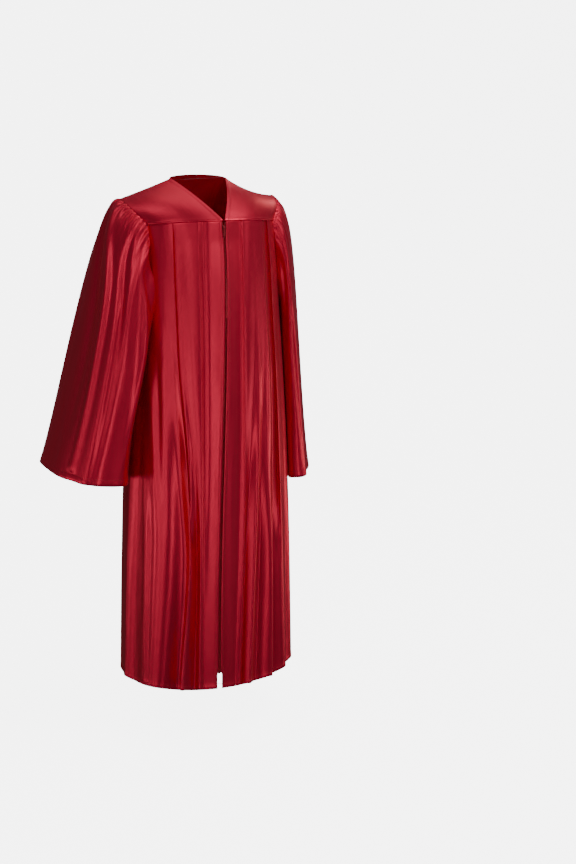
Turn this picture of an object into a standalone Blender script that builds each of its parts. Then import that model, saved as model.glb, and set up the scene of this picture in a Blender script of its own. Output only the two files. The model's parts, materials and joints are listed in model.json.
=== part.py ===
"""Graduation gown in its worn, hollow form, with nobody in it.

Two pleated fronts and a pleated back hang from a three-piece yoke, two gathered bell sleeves are set into the
armholes, and a zip closes the front from the point of the V neck to a short slit at the hem. Metres, +Z up, the front
faces -Y and +X is the wearer's left. The origin is the middle of the neck opening, level with the two points where
the shoulder seams meet the neck, because that is where the wearer carries the weight.
"""

import math
from typing import NamedTuple

import bmesh
import bpy
from mathutils import Vector

# Sizes of the whole gown.
CLOTH = 0.0013
SEAM_GAP = 0.0005
ARMHOLE_GAP = 0.0013
HEM_Z = -1.280
RIGHT = -1
LEFT = 1

# Yoke: where the shoulder seams, the V neck and the lower seams run.
NECK_HALF = 0.0700
NECK_BACK = Vector((0.0, 0.072, 0.006))
SHOULDER_TIP = Vector((0.194, 0.041, -0.047))
NECK_POINT = Vector((NECK_HALF, 0.026, 0.0))
YOKE_FRONT_Z = -0.089
YOKE_CORNER_Z = -0.101
YOKE_BACK_Z = -0.135
YOKE_FRONT_CORNER = 56.0
YOKE_BACK_CORNER = 127.0
YOKE_BULGE = 0.007
SHOULDER_SAG = {RIGHT: 0.001, LEFT: 0.009}

# Armhole: how deep it is cut, and the side seam's angle from the centre front.
UNDERARM_Z = -0.325
SIDE_SEAM = 90.0

# Zip, from the point of the V to the slit at the hem.
ZIP_TOP_Z = -0.0935
CHAIN_TOP_Z = -0.1130
SLIT_TOP_Z = -1.240
NECK_TIP_HALF = 0.0010
SLOT_HALF = 0.0026
SLOT_TOP_HALF = 0.0052
SLOT_TOP_RUN = 0.055
SLIT_HALF = 0.0055
TAPE_WIDTH = 0.0125
TAPE_THICK = 0.0010
CHAIN_HALF = 0.0020
CHAIN_THICK = 0.0022

# Grid sizes of the cloth solids.
BODY_ROWS = 17
ARMHOLE_SHARES = (0.08, 0.18, 0.32, 0.50, 0.68, 0.85, 1.0)
SLEEVE_ROWS = (0.0, 0.025, 0.06, 0.105, 0.16, 0.23, 0.31, 0.40, 0.50, 0.60, 0.70, 0.80, 0.90, 1.0)
GATHER_COLUMNS = 4
UNDERSLEEVE_COLUMNS = 13


class Level(NamedTuple):
    """One horizontal section of the body of the gown."""

    z: float
    middle_x: float
    half_width: float
    front_y: float
    back_y: float
    side_y: float
    zip_x: float


LEVELS = (
    Level(-0.080, 0.000, 0.188, -0.168, 0.140, 0.030, 0.003),
    Level(-0.200, 0.001, 0.194, -0.178, 0.158, 0.030, 0.0055),
    Level(-0.330, 0.003, 0.197, -0.182, 0.160, 0.030, 0.0035),
    Level(-0.480, 0.006, 0.204, -0.180, 0.158, 0.030, 0.000),
    Level(-0.650, 0.008, 0.212, -0.175, 0.166, 0.030, -0.005),
    Level(-0.850, 0.008, 0.221, -0.168, 0.182, 0.031, -0.011),
    Level(-1.060, 0.007, 0.228, -0.160, 0.202, 0.033, -0.015),
    Level(-1.290, 0.006, 0.234, -0.152, 0.220, 0.035, -0.016),
)


FOLD_HEIGHTS = (-0.09, -0.42, -0.70, -0.95, -1.28)


class Fold(NamedTuple):
    """A fold that runs down the body, with its values at the five FOLD_HEIGHTS.

    foot and lip are degrees from the centre front, or from the centre back on the back: the cloth rises from the foot
    to the lip. depth is that rise in millimetres. A fold with depth at the top is a pleat sewn into the yoke's seam.
    """

    foot: tuple
    lip: tuple
    depth: tuple


FOLDS = {
    ("front", RIGHT): (
        Fold((14.7, 16.2, 16.5, 16.2, 15.6), (17.9, 18.4, 18.5, 18.2, 18.3), (6.2, 6.0, 5.0, 5.0, 6.0)),
        Fold((34.2, 31.9, 24.2, 21.0, 22.0), (36.2, 34.3, 27.6, 25.3, 30.8), (5.6, 7.0, 9.0, 14.0, 16.0)),
        Fold((41.0, 38.5, 34.5, 28.5, 33.5), (46.0, 46.0, 47.0, 47.0, 50.8), (0.0, 1.5, 10.0, 20.0, 27.0)),
        Fold((62.0, 64.0, 68.0, 71.0, 74.0), (68.0, 70.0, 76.0, 80.0, 83.0), (0.0, 3.0, 7.0, 10.0, 13.0)),
    ),
    ("front", LEFT): (
        Fold((13.8, 10.9, 8.9, 7.2, 4.6), (15.8, 12.9, 11.0, 9.6, 7.4), (6.2, 6.0, 6.0, 6.0, 6.0)),
        Fold((24.0, 21.5, 17.0, 13.4, 10.2), (28.0, 25.5, 21.8, 18.2, 14.6), (0.0, 2.0, 9.0, 14.0, 15.0)),
        Fold((32.0, 29.5, 26.5, 26.0, 23.0), (36.0, 33.5, 31.5, 33.0, 32.5), (0.0, 1.0, 8.0, 15.0, 19.0)),
        Fold((41.4, 42.6, 40.5, 40.0, 40.5), (43.3, 45.5, 45.5, 47.5, 51.0), (5.6, 6.0, 9.0, 14.0, 18.0)),
        Fold((62.0, 63.0, 64.0, 63.0, 62.0), (68.0, 70.0, 73.0, 72.0, 72.0), (0.0, 3.0, 8.0, 11.0, 13.0)),
    ),
    ("back", RIGHT): (
        Fold((8.0, 8.2, 8.5, 9.0, 9.0), (10.2, 11.0, 12.0, 14.0, 17.0), (6.2, 8.0, 12.0, 17.0, 22.0)),
        Fold((20.5, 21.0, 22.5, 25.0, 26.5), (22.7, 24.0, 27.0, 31.0, 35.0), (6.2, 8.0, 13.0, 20.0, 27.0)),
        Fold((33.0, 35.0, 38.0, 42.0, 46.0), (35.2, 38.0, 43.0, 49.0, 56.0), (5.6, 7.0, 12.0, 18.0, 25.0)),
        Fold((58.0, 59.0, 62.0, 65.0, 67.0), (63.0, 65.0, 70.0, 73.0, 76.0), (0.0, 3.0, 8.0, 12.0, 16.0)),
    ),
    ("back", LEFT): (
        Fold((8.0, 7.8, 7.5, 7.4, 7.0), (10.2, 10.8, 12.0, 13.6, 16.0), (6.2, 8.0, 13.0, 19.0, 25.0)),
        Fold((20.5, 21.2, 22.0, 23.6, 25.0), (22.7, 24.0, 25.8, 29.0, 33.0), (6.2, 7.0, 11.0, 16.0, 21.0)),
        Fold((33.0, 34.2, 37.0, 40.0, 43.5), (35.2, 37.4, 42.0, 48.0, 54.0), (5.6, 8.0, 14.0, 21.0, 28.0)),
        Fold((58.0, 60.0, 62.0, 64.0, 65.0), (63.0, 65.0, 69.0, 72.0, 73.0), (0.0, 3.0, 8.0, 12.0, 15.0)),
    ),
}
SEAM_FLATTENS = 0.55
SEAM_FLATTENS_OVER = 0.06


class Sleeve(NamedTuple):
    """One bell sleeve: where its cuff hangs, its section there, and how the gathered head swells."""

    cuff_centre: Vector
    cuff_half_width: float
    cuff_half_depth: float
    cuff_turn: float
    cuff_tilt: float
    head_swell: float
    elbow_reach: float
    spread: float
    fold_at: tuple
    fold_depth: tuple
    fold_width: float


SLEEVES = {
    RIGHT: Sleeve(
        Vector((-0.3120, 0.045, -0.722)), 0.088, 0.155, -8.0, 0.16, 0.064, 0.36, 0.35,
        (0.12, 0.36, 0.62, 0.84), (0.008, 0.008, 0.018, 0.020), 0.050,
    ),
    LEFT: Sleeve(
        Vector((0.2760, 0.125, -0.774)), 0.052, 0.160, -14.0, 0.05, 0.056, 0.36, 0.13,
        (0.10, 0.30, 0.66, 0.86), (0.010, 0.008, 0.014, 0.018), 0.050,
    ),
}
CUFF_SQUARENESS = 0.72
GATHERS = 12
GATHER_DEPTH = 0.0050
GATHER_ENDS_AT = 0.34
BODY_CLEARANCE = 0.004

MATERIALS = {
    "satin": ((0.42, 0.010, 0.030), 0.32, 0.0),
    "zip_tape": ((0.20, 0.006, 0.016), 0.75, 0.0),
    "zip_teeth": ((0.30, 0.010, 0.022), 0.38, 0.0),
    "zip_metal": ((0.46, 0.055, 0.060), 0.34, 0.75),
}


def ease(share):
    """A smooth step from 0 to 1."""
    share = min(1.0, max(0.0, share))
    return share * share * (3.0 - 2.0 * share)


def mix(first, second, share):
    """The value or point that lies share of the way from first to second."""
    return first * (1.0 - share) + second * share


def along(heights, values, z):
    """The value at height z on a smooth curve through values, which are given at heights from the top down."""
    z = min(heights[0], max(heights[-1], z))
    index = max(k for k in range(len(heights) - 1) if k == 0 or z < heights[k])
    before, after = max(index - 1, 0), min(index + 2, len(heights) - 1)
    run = heights[index + 1] - heights[index]
    slope0 = (values[index + 1] - values[before]) / (heights[index + 1] - heights[before])
    slope1 = (values[after] - values[index]) / (heights[after] - heights[index])
    share = (z - heights[index]) / run
    return (
        (2 * share**3 - 3 * share**2 + 1) * values[index]
        + (share**3 - 2 * share**2 + share) * run * slope0
        + (3 * share**2 - 2 * share**3) * values[index + 1]
        + (share**3 - share**2) * run * slope1
    )


def level_value(column, z):
    """A named column of LEVELS at height z."""
    return along([level.z for level in LEVELS], [getattr(level, column) for level in LEVELS], z)


def fall(z):
    """How far down the skirt z lies: 0 at the yoke seam and 1 at the hem."""
    return min(1.0, max(0.0, (YOKE_FRONT_Z - z) / (YOKE_FRONT_Z - HEM_Z)))


def fold_feet(folds, z):
    """(foot angle, lip angle, depth in metres) of each fold at height z."""
    pressed = 1.0 - SEAM_FLATTENS * (1.0 - ease((YOKE_FRONT_Z - z) / SEAM_FLATTENS_OVER))
    return [
        (
            along(FOLD_HEIGHTS, fold.foot, z),
            along(FOLD_HEIGHTS, fold.lip, z),
            max(0.0, along(FOLD_HEIGHTS, fold.depth, z)) * pressed / 1000.0,
        )
        for fold in folds
    ]


def fold_offset(folds, angle, z):
    """How far the cloth lies inside the section's outline at this angle, as a negative length."""
    feet = fold_feet(folds, z)
    stations = [(0.0, -feet[0][2])]
    for foot, edge, depth in feet:
        stations += [(foot, -depth), (edge, 0.0)]
    stations.append((SIDE_SEAM, -0.35 * feet[-1][2]))
    if angle <= stations[0][0]:
        return stations[0][1]
    for (a0, d0), (a1, d1) in zip(stations, stations[1:]):
        if angle <= a1:
            return mix(d0, d1, ease((angle - a0) / (a1 - a0)))
    return stations[-1][1]


def section_point(angle, z, offset):
    """A point of the body's outline. angle is in degrees from the centre front, positive to the wearer's left."""
    turn = math.radians(angle)
    half_width = level_value("half_width", z)
    side_y = level_value("side_y", z)
    front = math.cos(turn) > 0
    depth = side_y - level_value("front_y", z) if front else level_value("back_y", z) - side_y
    out = Vector((math.sin(turn) / half_width, -math.cos(turn) / depth, 0.0)).normalized()
    across = level_value("middle_x", z) + half_width * math.sin(turn)
    return Vector((across, side_y - depth * math.cos(turn), z)) + out * offset


def body_point(side, angle, z, inset=0.0):
    """A point of the pleated cloth. angle runs from 0 at the centre front to 180 at the centre back of that side."""
    if angle <= SIDE_SEAM:
        offset = fold_offset(FOLDS["front", side], angle, z)
    else:
        offset = fold_offset(FOLDS["back", side], 180.0 - angle, z)
    return section_point(side * angle, z, offset - inset)


def yoke_seam_z(angle):
    """Height of the yoke's lower seam at an angle from the centre front."""
    if angle <= SIDE_SEAM:
        return mix(YOKE_FRONT_Z, YOKE_CORNER_Z, (angle / YOKE_FRONT_CORNER) ** 2)
    return YOKE_BACK_Z


def slot_half(z):
    """Half the width of the gap between the two fronts: wider round the slider, and at the slit under the zip."""
    flare = mix(SLOT_TOP_HALF, SLOT_HALF, ease((ZIP_TOP_Z - z) / SLOT_TOP_RUN))
    return SLIT_HALF if z < SLIT_TOP_Z else flare


def zip_angle(side, z, reach):
    """The angle, on one side, of a point that lies reach beside the line of the zip."""
    across = side * (level_value("zip_x", z) - level_value("middle_x", z)) + reach
    return math.degrees(math.asin(across / level_value("half_width", z)))


def armhole_low(side, share, back):
    """The armhole's lower half, from the yoke's corner (share 0) to the underarm (share 1): (angle, z)."""
    corner = YOKE_BACK_CORNER if back else YOKE_FRONT_CORNER
    corner_z = YOKE_BACK_Z if back else YOKE_CORNER_Z
    swing = share * math.pi / 2
    inward = 0.17 * ease(share / 0.3) + 0.83 * (1.0 - math.cos(swing)) ** 1.5
    return mix(corner, SIDE_SEAM, inward), mix(corner_z, UNDERARM_Z, math.sin(swing))


def mirrored(point, side):
    """A point given for the wearer's left, on the side asked for."""
    return Vector((side * point.x, point.y, point.z))


def bow(start, end, share, rise):
    """A point on a shallow arch from start to end, whose middle is moved by rise."""
    return mix(start, end, share) + rise * (4.0 * share * (1.0 - share))


def shoulder_seam(side, share):
    """The seam from the neck point to the shoulder tip."""
    return bow(mirrored(NECK_POINT, side), mirrored(SHOULDER_TIP, side), share, Vector((0, 0, -SHOULDER_SAG[side])))


def yoke_edge(side, share, back):
    """The yoke's edge at the armhole, from the shoulder tip down to its corner."""
    corner = yoke_corner(side, back)
    rise = mirrored(Vector((0.010, 0.010, 0.006)) if back else Vector((0.009, -0.012, 0.007)), side)
    return bow(mirrored(SHOULDER_TIP, side), corner, share, rise)


def yoke_corner(side, back):
    """The yoke's lower outer corner, in front or behind."""
    angle = YOKE_BACK_CORNER if back else YOKE_FRONT_CORNER
    return section_point(side * angle, yoke_seam_z(angle), 0.0)


def neck_edge(side, share):
    """The V neck's edge, from the neck point down to the zip."""
    low = section_point(side * zip_angle(side, YOKE_FRONT_Z, NECK_TIP_HALF), YOKE_FRONT_Z, 0.0)
    return bow(mirrored(NECK_POINT, side), low, share, mirrored(Vector((0.003, -0.010, 0.006)), side))


def front_seam(side, share):
    """The front yoke's lower seam, from the zip to the armhole."""
    angle = mix(zip_angle(side, YOKE_FRONT_Z, NECK_TIP_HALF), YOKE_FRONT_CORNER, share)
    return section_point(side * angle, yoke_seam_z(angle), 0.0)


def patch(left, right, low, high, across, up):
    """A point of the surface stretched inside four edges (a Coons patch); each edge is a function of its share."""
    ruled = mix(left(up), right(up), across) + mix(low(across), high(across), up)
    corners = mix(mix(low(0.0), low(1.0), across), mix(high(0.0), high(1.0), across), up)
    return ruled - corners


def within(share, low=SEAM_GAP, high=SEAM_GAP, length=0.12):
    """A share of an edge of that length, kept clear of its ends by the seam gaps."""
    return mix(low / length, 1.0 - high / length, share)


def yoke_front_point(side, across, down):
    """A point of a front yoke: across from the neck to the armhole, down from the shoulder seam to the lower seam."""
    across, down = within(across, low=0.0), within(down)
    place = patch(
        lambda share: neck_edge(side, share),
        lambda share: yoke_edge(side, share, back=False),
        lambda share: shoulder_seam(side, share),
        lambda share: front_seam(side, share),
        across,
        down,
    )
    swell = YOKE_BULGE * math.sin(math.pi * across) * math.sin(math.pi * down)
    return place + Vector((0.0, -0.8, 0.6)) * swell


def yoke_back_top(across):
    """The back yoke's upper edge: shoulder seam, back neck, shoulder seam. across runs from -1 to 1."""
    side = RIGHT if across < 0 else LEFT
    share = abs(across)
    neck_share = 0.36
    if share >= neck_share:
        return shoulder_seam(side, (share - neck_share) / (1.0 - neck_share))
    swing = share / neck_share * math.pi / 2
    depth = NECK_BACK.y - NECK_POINT.y
    return Vector((
        side * NECK_HALF * math.sin(swing),
        NECK_POINT.y + depth * math.cos(swing),
        NECK_BACK.z * math.cos(swing),
    ))


def yoke_back_point(across, down):
    """A point of the back yoke: across from the wearer's right to left, down from the top edge to the lower seam."""
    across, down = within(across, length=0.38), within(down, low=2.0 * SEAM_GAP, length=0.14)
    corner = 180.0 - YOKE_BACK_CORNER

    def low(share):
        return section_point(180.0 - mix(-corner, corner, share), YOKE_BACK_Z, 0.0)

    place = patch(
        lambda share: yoke_edge(RIGHT, share, back=True),
        lambda share: yoke_edge(LEFT, share, back=True),
        lambda share: yoke_back_top(2.0 * share - 1.0),
        low,
        across,
        down,
    )
    swell = 2.0 * YOKE_BULGE * math.sin(math.pi * across) * math.sin(math.pi * down)
    return place + Vector((0.0, 0.9, 0.4)) * swell


def armhole_point(side, share):
    """The whole armhole: 0 at the shoulder tip, down the front to the underarm at 0.5, and up the back to 1."""
    share = share % 1.0
    back = share > 0.5
    along = 2.0 * (1.0 - share) if back else 2.0 * share
    yoke_part = 0.36
    if along < yoke_part:
        return yoke_edge(side, along / yoke_part, back)
    angle, z = armhole_low(side, (along - yoke_part) / (1.0 - yoke_part), back)
    return body_point(side, angle, z)


def squared(value):
    """A sine or cosine bent so that the section it draws is fuller at its corners than an ellipse."""
    return math.copysign(abs(value) ** CUFF_SQUARENESS, value)


def sleeve_point(side, round_share, down):
    """A point of a sleeve: round from the top by the front and the underarm, down from the armhole to the cuff."""
    sleeve = SLEEVES[side]
    swing = 2.0 * math.pi * round_share
    turn = math.radians(sleeve.cuff_turn) * side
    out = Vector((side * math.cos(turn), side * math.sin(turn), 0.0))
    ahead = Vector((side * out.y, -side * out.x, 0.0))
    ring = out * (sleeve.cuff_half_width * squared(math.cos(swing)))
    ring += ahead * (sleeve.cuff_half_depth * squared(math.sin(swing)))
    ring.z = sleeve.cuff_tilt * side * ring.x
    start = armhole_point(side, round_share)
    end = sleeve.cuff_centre + ring
    topness = 0.5 + 0.5 * math.cos(swing)
    leave = Vector((side * mix(0.18, 1.0, topness), 0.35 * (ring.y / sleeve.cuff_half_depth), mix(-0.9, 0.22, topness)))
    leave = leave.normalized()
    start = start + leave * ARMHOLE_GAP + Vector((side, 0.0, 0.0)) * (0.6 * ARMHOLE_GAP)
    reach = mix(0.035, sleeve.head_swell, topness)
    hang = Vector((side * sleeve.spread * topness, 0.0, -1.0)).normalized()
    points = (start, start + leave * reach, end - hang * sleeve.elbow_reach, end)
    place = Vector((0.0, 0.0, 0.0))
    for index, weight in enumerate((1.0, 3.0, 3.0, 1.0)):
        place += points[index] * (weight * (1.0 - down) ** (3 - index) * down**index)
    outward = Vector((side * math.cos(swing), -math.sin(swing), 0.55 * topness * (1.0 - down)))
    return keep_clear(side, place + outward.normalized() * sleeve_fold(side, round_share, down))


def sleeve_fold(side, round_share, down):
    """How far the sleeve's cloth lies in or out of its plain tube: gathers at the head, soft folds lower down."""
    sleeve = SLEEVES[side]
    from_top = abs((round_share + 0.5) % 1.0 - 0.5)
    head = 1.0 - ease((from_top - 0.17) / 0.06)
    strength = ease(down / 0.06) * (1.0 - ease((down - 0.10) / (GATHER_ENDS_AT - 0.10)))
    phase = round_share / GATHER_SPAN * GATHERS
    depth = 0.5 * GATHER_DEPTH * head * (0.35 + 0.65 * strength) * (math.cos(2.0 * math.pi * phase) - 1.0)
    depth *= 1.0 if down < GATHER_ENDS_AT else 0.0
    for at, fold in zip(sleeve.fold_at, sleeve.fold_depth):
        away = (round_share - at + 0.5) % 1.0 - 0.5
        depth -= fold * ease(down / 0.9) * math.exp(-((away / sleeve.fold_width) ** 2))
    return depth


GATHER_SPAN = 0.42


def keep_clear(side, place):
    """The point, moved sideways where the body of the gown is nearer than the clearance."""
    z = place.z
    side_y = level_value("side_y", z)
    depth = (level_value("back_y", z) - side_y if place.y > side_y else side_y - level_value("front_y", z))
    away = (place.y - side_y) / (depth + BODY_CLEARANCE)
    if z > UNDERARM_Z - 0.004 or abs(away) >= 1.0:
        return place
    least = (level_value("half_width", z) + BODY_CLEARANCE) * math.sqrt(1.0 - away * away)
    least += side * level_value("middle_x", z)
    clear = ease((UNDERARM_Z - z) / 0.03)
    wanted = max(side * place.x, mix(side * place.x, least, clear))
    return Vector((side * wanted, place.y, z))


def material(name):
    """One of the MATERIALS as a Principled BSDF, made once."""
    found = bpy.data.materials.get(name)
    if found:
        return found
    colour, roughness, metallic = MATERIALS[name]
    made = bpy.data.materials.new(name)
    made.use_nodes = True
    shader = made.node_tree.nodes["Principled BSDF"]
    shader.inputs["Base Color"].default_value = (*colour, 1.0)
    shader.inputs["Roughness"].default_value = roughness
    shader.inputs["Metallic"].default_value = metallic
    return made


def add_object(name, mesh, material_name, parts):
    """A mesh as a named object of the gown's collection."""
    made = bpy.data.objects.new(name, mesh)
    mesh.materials.append(material(material_name))
    parts.objects.link(made)
    return made


def cloth(name, columns, rows, place, inside, parts, closed=False, thick=CLOTH, material_name="satin"):
    """A sheet of cloth: a grid whose point at (column, row) is place(column, row), thickened away from its outside.

    inside(point) gives a point on the hollow side of the cloth, so that its faces look away from it.
    """
    bm = bmesh.new()
    bmesh.ops.create_grid(bm, x_segments=columns, y_segments=rows, size=0.5)
    for vertex in bm.verts:
        column = round((vertex.co.x + 0.5) * columns)
        row = round((vertex.co.y + 0.5) * rows)
        vertex.co = place(column % columns if closed else column, row)
    if closed:
        bmesh.ops.remove_doubles(bm, verts=bm.verts, dist=1e-6)
    bm.normal_update()
    facing = sum(
        face.normal.dot(face.calc_center_median() - inside(face.calc_center_median())) * face.calc_area()
        for face in bm.faces
    )
    if facing < 0:
        bmesh.ops.reverse_faces(bm, faces=bm.faces)
    mesh = bpy.data.meshes.new(name)
    bm.to_mesh(mesh)
    bm.free()
    mesh.shade_smooth()
    made = add_object(name, mesh, material_name, parts)
    wall = made.modifiers.new("wall", "SOLIDIFY")
    wall.thickness = thick
    wall.offset = -1.0
    wall.use_even_offset = False
    return made


def body_axis(point):
    """The middle of the gown's body at a point's height."""
    return Vector((level_value("middle_x", point.z), level_value("side_y", point.z), point.z - 0.02))


def station_columns(folds, corner, edge, fill):
    """Column angles at height z for a panel that starts at edge(z): fill steps over each flat, two over each fold."""

    def angles(z):
        found = [edge(z)]
        for fold, (foot, lip, _) in zip(folds, fold_feet(folds, z)):
            if fold.foot[0] < corner:
                flat = found[-1]
                found += [mix(flat, foot, step / fill) for step in range(1, fill + 1)]
                found += [mix(foot, lip, 0.5), lip]
        return found

    return angles


def row_share(row):
    """How far up a body panel a row of points lies: closer together near the hem and the yoke."""
    return mix(row / BODY_ROWS, ease(row / BODY_ROWS), 0.35)


class Panel(NamedTuple):
    """The columns of one half of a body panel, from its middle to the side seam.

    inner(z) gives the angles of the columns under the yoke, and outer the share of each column along the armhole.
    """

    side: int
    back: bool
    inner: object
    outer: tuple

    def count(self):
        """How many columns of points the half panel has."""
        return len(self.inner(HEM_Z)) + len(self.outer)

    def point(self, column, row):
        """The panel's point: column from the middle to the side seam, row from the hem to the top edge."""
        up = row_share(row)
        inner_count = len(self.inner(HEM_Z))
        if column < inner_count:
            return self.under_yoke(column, up)
        return self.under_armhole(self.outer[column - inner_count], up)

    def true_angle(self, angle):
        """The angle from the centre front of an angle from the panel's own middle."""
        return 180.0 - angle if self.back else angle

    def under_yoke(self, column, up):
        """A point of a column that hangs from the yoke's seam."""
        top = YOKE_BACK_Z if self.back else yoke_seam_z(self.inner(YOKE_FRONT_Z)[column])
        z = mix(HEM_Z, top - 2.2 * SEAM_GAP, up)
        return body_point(self.side, self.true_angle(self.inner(z)[column]), z)

    def under_armhole(self, share, up):
        """A point of a column that starts at the armhole's edge."""
        angle, top = armhole_low(self.side, share, self.back)
        top -= SEAM_GAP
        corner = self.inner(HEM_Z)[-1]
        seam = SIDE_SEAM - math.degrees(SEAM_GAP / 0.2)
        angle = 180.0 - angle if self.back else angle
        angle = min(angle, seam) - math.degrees(0.6 * SEAM_GAP / 0.2)
        z = mix(HEM_Z, top, up)
        across = mix(corner, seam, share)
        return body_point(self.side, self.true_angle(mix(across, angle, up**2.2)), z)


def half_panel(side, back):
    """One half of the body: a front, or half of the back."""
    folds = FOLDS["back" if back else "front", side]
    corner = 180.0 - YOKE_BACK_CORNER if back else YOKE_FRONT_CORNER

    def edge(z):
        return 0.0 if back else zip_angle(side, z, slot_half(z))

    spread = station_columns(folds, corner, edge, fill=3)

    def inner(z):
        reach = mix(corner, corner + 6.0, fall(z))
        return spread(z) + [mix(spread(z)[-1], reach, step / 3.0) for step in (1, 2, 3)]

    return Panel(side, back, inner, ARMHOLE_SHARES)


def build_fronts(parts):
    """The two pleated fronts, from the zip to the side seams."""
    for side, name in ((RIGHT, "front_right"), (LEFT, "front_left")):
        panel = half_panel(side, back=False)
        cloth(name, panel.count() - 1, BODY_ROWS, panel.point, body_axis, parts)


def build_back(parts):
    """The pleated back, in one piece from side seam to side seam."""
    right, left = half_panel(RIGHT, back=True), half_panel(LEFT, back=True)
    reach = right.count() - 1

    def place(column, row):
        if column <= reach:
            return right.point(reach - column, row)
        return left.point(column - reach, row)

    cloth("back", reach + left.count() - 1, BODY_ROWS, place, body_axis, parts)


def build_yoke(parts):
    """The three flat pieces that carry the gown on the shoulders."""
    columns, rows = 9, 8

    def low_middle(point):
        return Vector((0.0, 0.02, -0.22))

    for side, name in ((RIGHT, "yoke_front_right"), (LEFT, "yoke_front_left")):
        cloth(
            name, columns, rows,
            lambda column, row, side=side: yoke_front_point(side, column / columns, row / rows),
            low_middle, parts,
        )
    back_columns = 24
    cloth(
        "yoke_back", back_columns, rows,
        lambda column, row: yoke_back_point(column / back_columns, row / rows),
        low_middle, parts,
    )


def sleeve_columns():
    """Shares round a sleeve: close together over the gathered head, wider underneath."""
    head = GATHERS * GATHER_COLUMNS
    start, end = -0.5 * GATHER_SPAN, 0.5 * GATHER_SPAN
    over = [mix(start, end, step / head) for step in range(head)]
    under = [mix(end, 1.0 + start, step / UNDERSLEEVE_COLUMNS) for step in range(UNDERSLEEVE_COLUMNS)]
    return over + under


def build_sleeves(parts):
    """The two bell sleeves, gathered into the armholes."""
    shares = sleeve_columns()
    for side, name in ((RIGHT, "sleeve_right"), (LEFT, "sleeve_left")):

        def place(column, row, side=side):
            return sleeve_point(side, shares[column], SLEEVE_ROWS[row])

        def inside(point, side=side):
            share = min(1.0, max(0.0, (-0.12 - point.z) / 0.6))
            middle = mix(Vector((side * 0.19, 0.03, 0.0)), SLEEVES[side].cuff_centre, share)
            return Vector((middle.x, middle.y, point.z - 0.05))

        cloth(name, len(shares), len(SLEEVE_ROWS) - 1, place, inside, parts, closed=True)


def zip_strip(name, side, near, far, behind, thick, top, bottom, material_name, parts):
    """A strip that follows the zip's line behind the fronts, from near to far beside it."""
    levels = [mix(HEM_Z, yoke_seam_z(0.0) - SEAM_GAP, row_share(row)) for row in range(BODY_ROWS + 1)]
    levels = [bottom] + [z for z in levels if bottom + 0.003 < z < top - 0.003] + [top]
    rows, columns = len(levels) - 1, 1

    def place(column, row):
        z = levels[row]
        reach = mix(near, far, column / columns)
        angle = zip_angle(side, z, reach)
        foot = fold_offset(FOLDS["front", side], 0.0, z)
        return section_point(side * angle, z, foot - behind)

    cloth(name, columns, rows, place, body_axis, parts, thick=thick, material_name=material_name)


def build_zip(parts):
    """The closed zip: two tapes behind the fronts, the chain of teeth in the gap between them, and its end stop."""
    behind = CLOTH + 0.0004
    for side, name in ((RIGHT, "zip_tape_right"), (LEFT, "zip_tape_left")):
        zip_strip(
            name, side, CHAIN_HALF + 0.0003, CHAIN_HALF + TAPE_WIDTH, behind, TAPE_THICK,
            ZIP_TOP_Z, SLIT_TOP_Z, "zip_tape", parts,
        )
    zip_strip(
        "zip_chain", LEFT, -CHAIN_HALF, CHAIN_HALF, 0.0006, CHAIN_THICK,
        CHAIN_TOP_Z, SLIT_TOP_Z + 0.008, "zip_teeth", parts,
    )
    zip_strip(
        "zip_stop", LEFT, -CHAIN_HALF - 0.0001, CHAIN_HALF + 0.0001, 0.0002, CHAIN_THICK + 0.0004,
        SLIT_TOP_Z + 0.0075, SLIT_TOP_Z + 0.001, "zip_metal", parts,
    )


# Slider and pull tab. The tab turns on a pin that runs across, between two ears of the slider.
SLIDER_WIDTH = 0.0062
SLIDER_HEIGHT = 0.0110
SLIDER_THICK = 0.0030
SLIDER_BEVEL = 0.0007
SLIDER_TOP_Z = -0.1010
EAR_THICK = 0.0009
EAR_INNER = 0.0020
EAR_RADIUS = 0.0016
PIN_RADIUS = 0.00065
TAB_EYE_RADIUS = 0.00155
TAB_EYE_BORE = 0.00100
TAB_EYE_HALF = 0.0017
TAB_LENGTH = 0.0200
TAB_HALF_WIDTH = 0.0027
TAB_NECK_HALF = 0.0015
TAB_THICK = 0.0011


def zip_front():
    """The point on the zip's line, level with the outer face of the cloth beside the slider."""
    z = SLIDER_TOP_Z - SLIDER_HEIGHT / 2
    offset = fold_offset(FOLDS["front", LEFT], 0.0, z)
    return section_point(zip_angle(LEFT, z, 0.0), z, offset)


def pin_centre():
    """The middle of the pin that the pull tab turns on."""
    front = zip_front()
    return Vector((front.x, front.y - 0.0018 - 0.0003 - TAB_EYE_RADIUS, SLIDER_TOP_Z - 0.0050))


def box_mesh(bm, low, high):
    """A box between two corners, added to bm."""
    made = bmesh.ops.create_cube(bm, size=1.0)["verts"]
    for vertex in made:
        vertex.co = Vector(
            (low[axis] if vertex.co[axis] < 0 else high[axis] for axis in range(3))
        )
    return made


def rod_object(name, radius, low_x, high_x, centre, segments, parts):
    """A solid rod that lies along X."""
    bm = bmesh.new()
    made = bmesh.ops.create_cone(
        bm, cap_ends=True, segments=segments, radius1=radius, radius2=radius, depth=high_x - low_x
    )
    for vertex in made["verts"]:
        x, y, z = vertex.co
        vertex.co = centre + Vector((z + 0.5 * (low_x + high_x), x, y))
    mesh = bpy.data.meshes.new(name)
    bmesh.ops.recalc_face_normals(bm, faces=bm.faces)
    bm.to_mesh(mesh)
    bm.free()
    return add_object(name, mesh, "zip_metal", parts)


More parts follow.
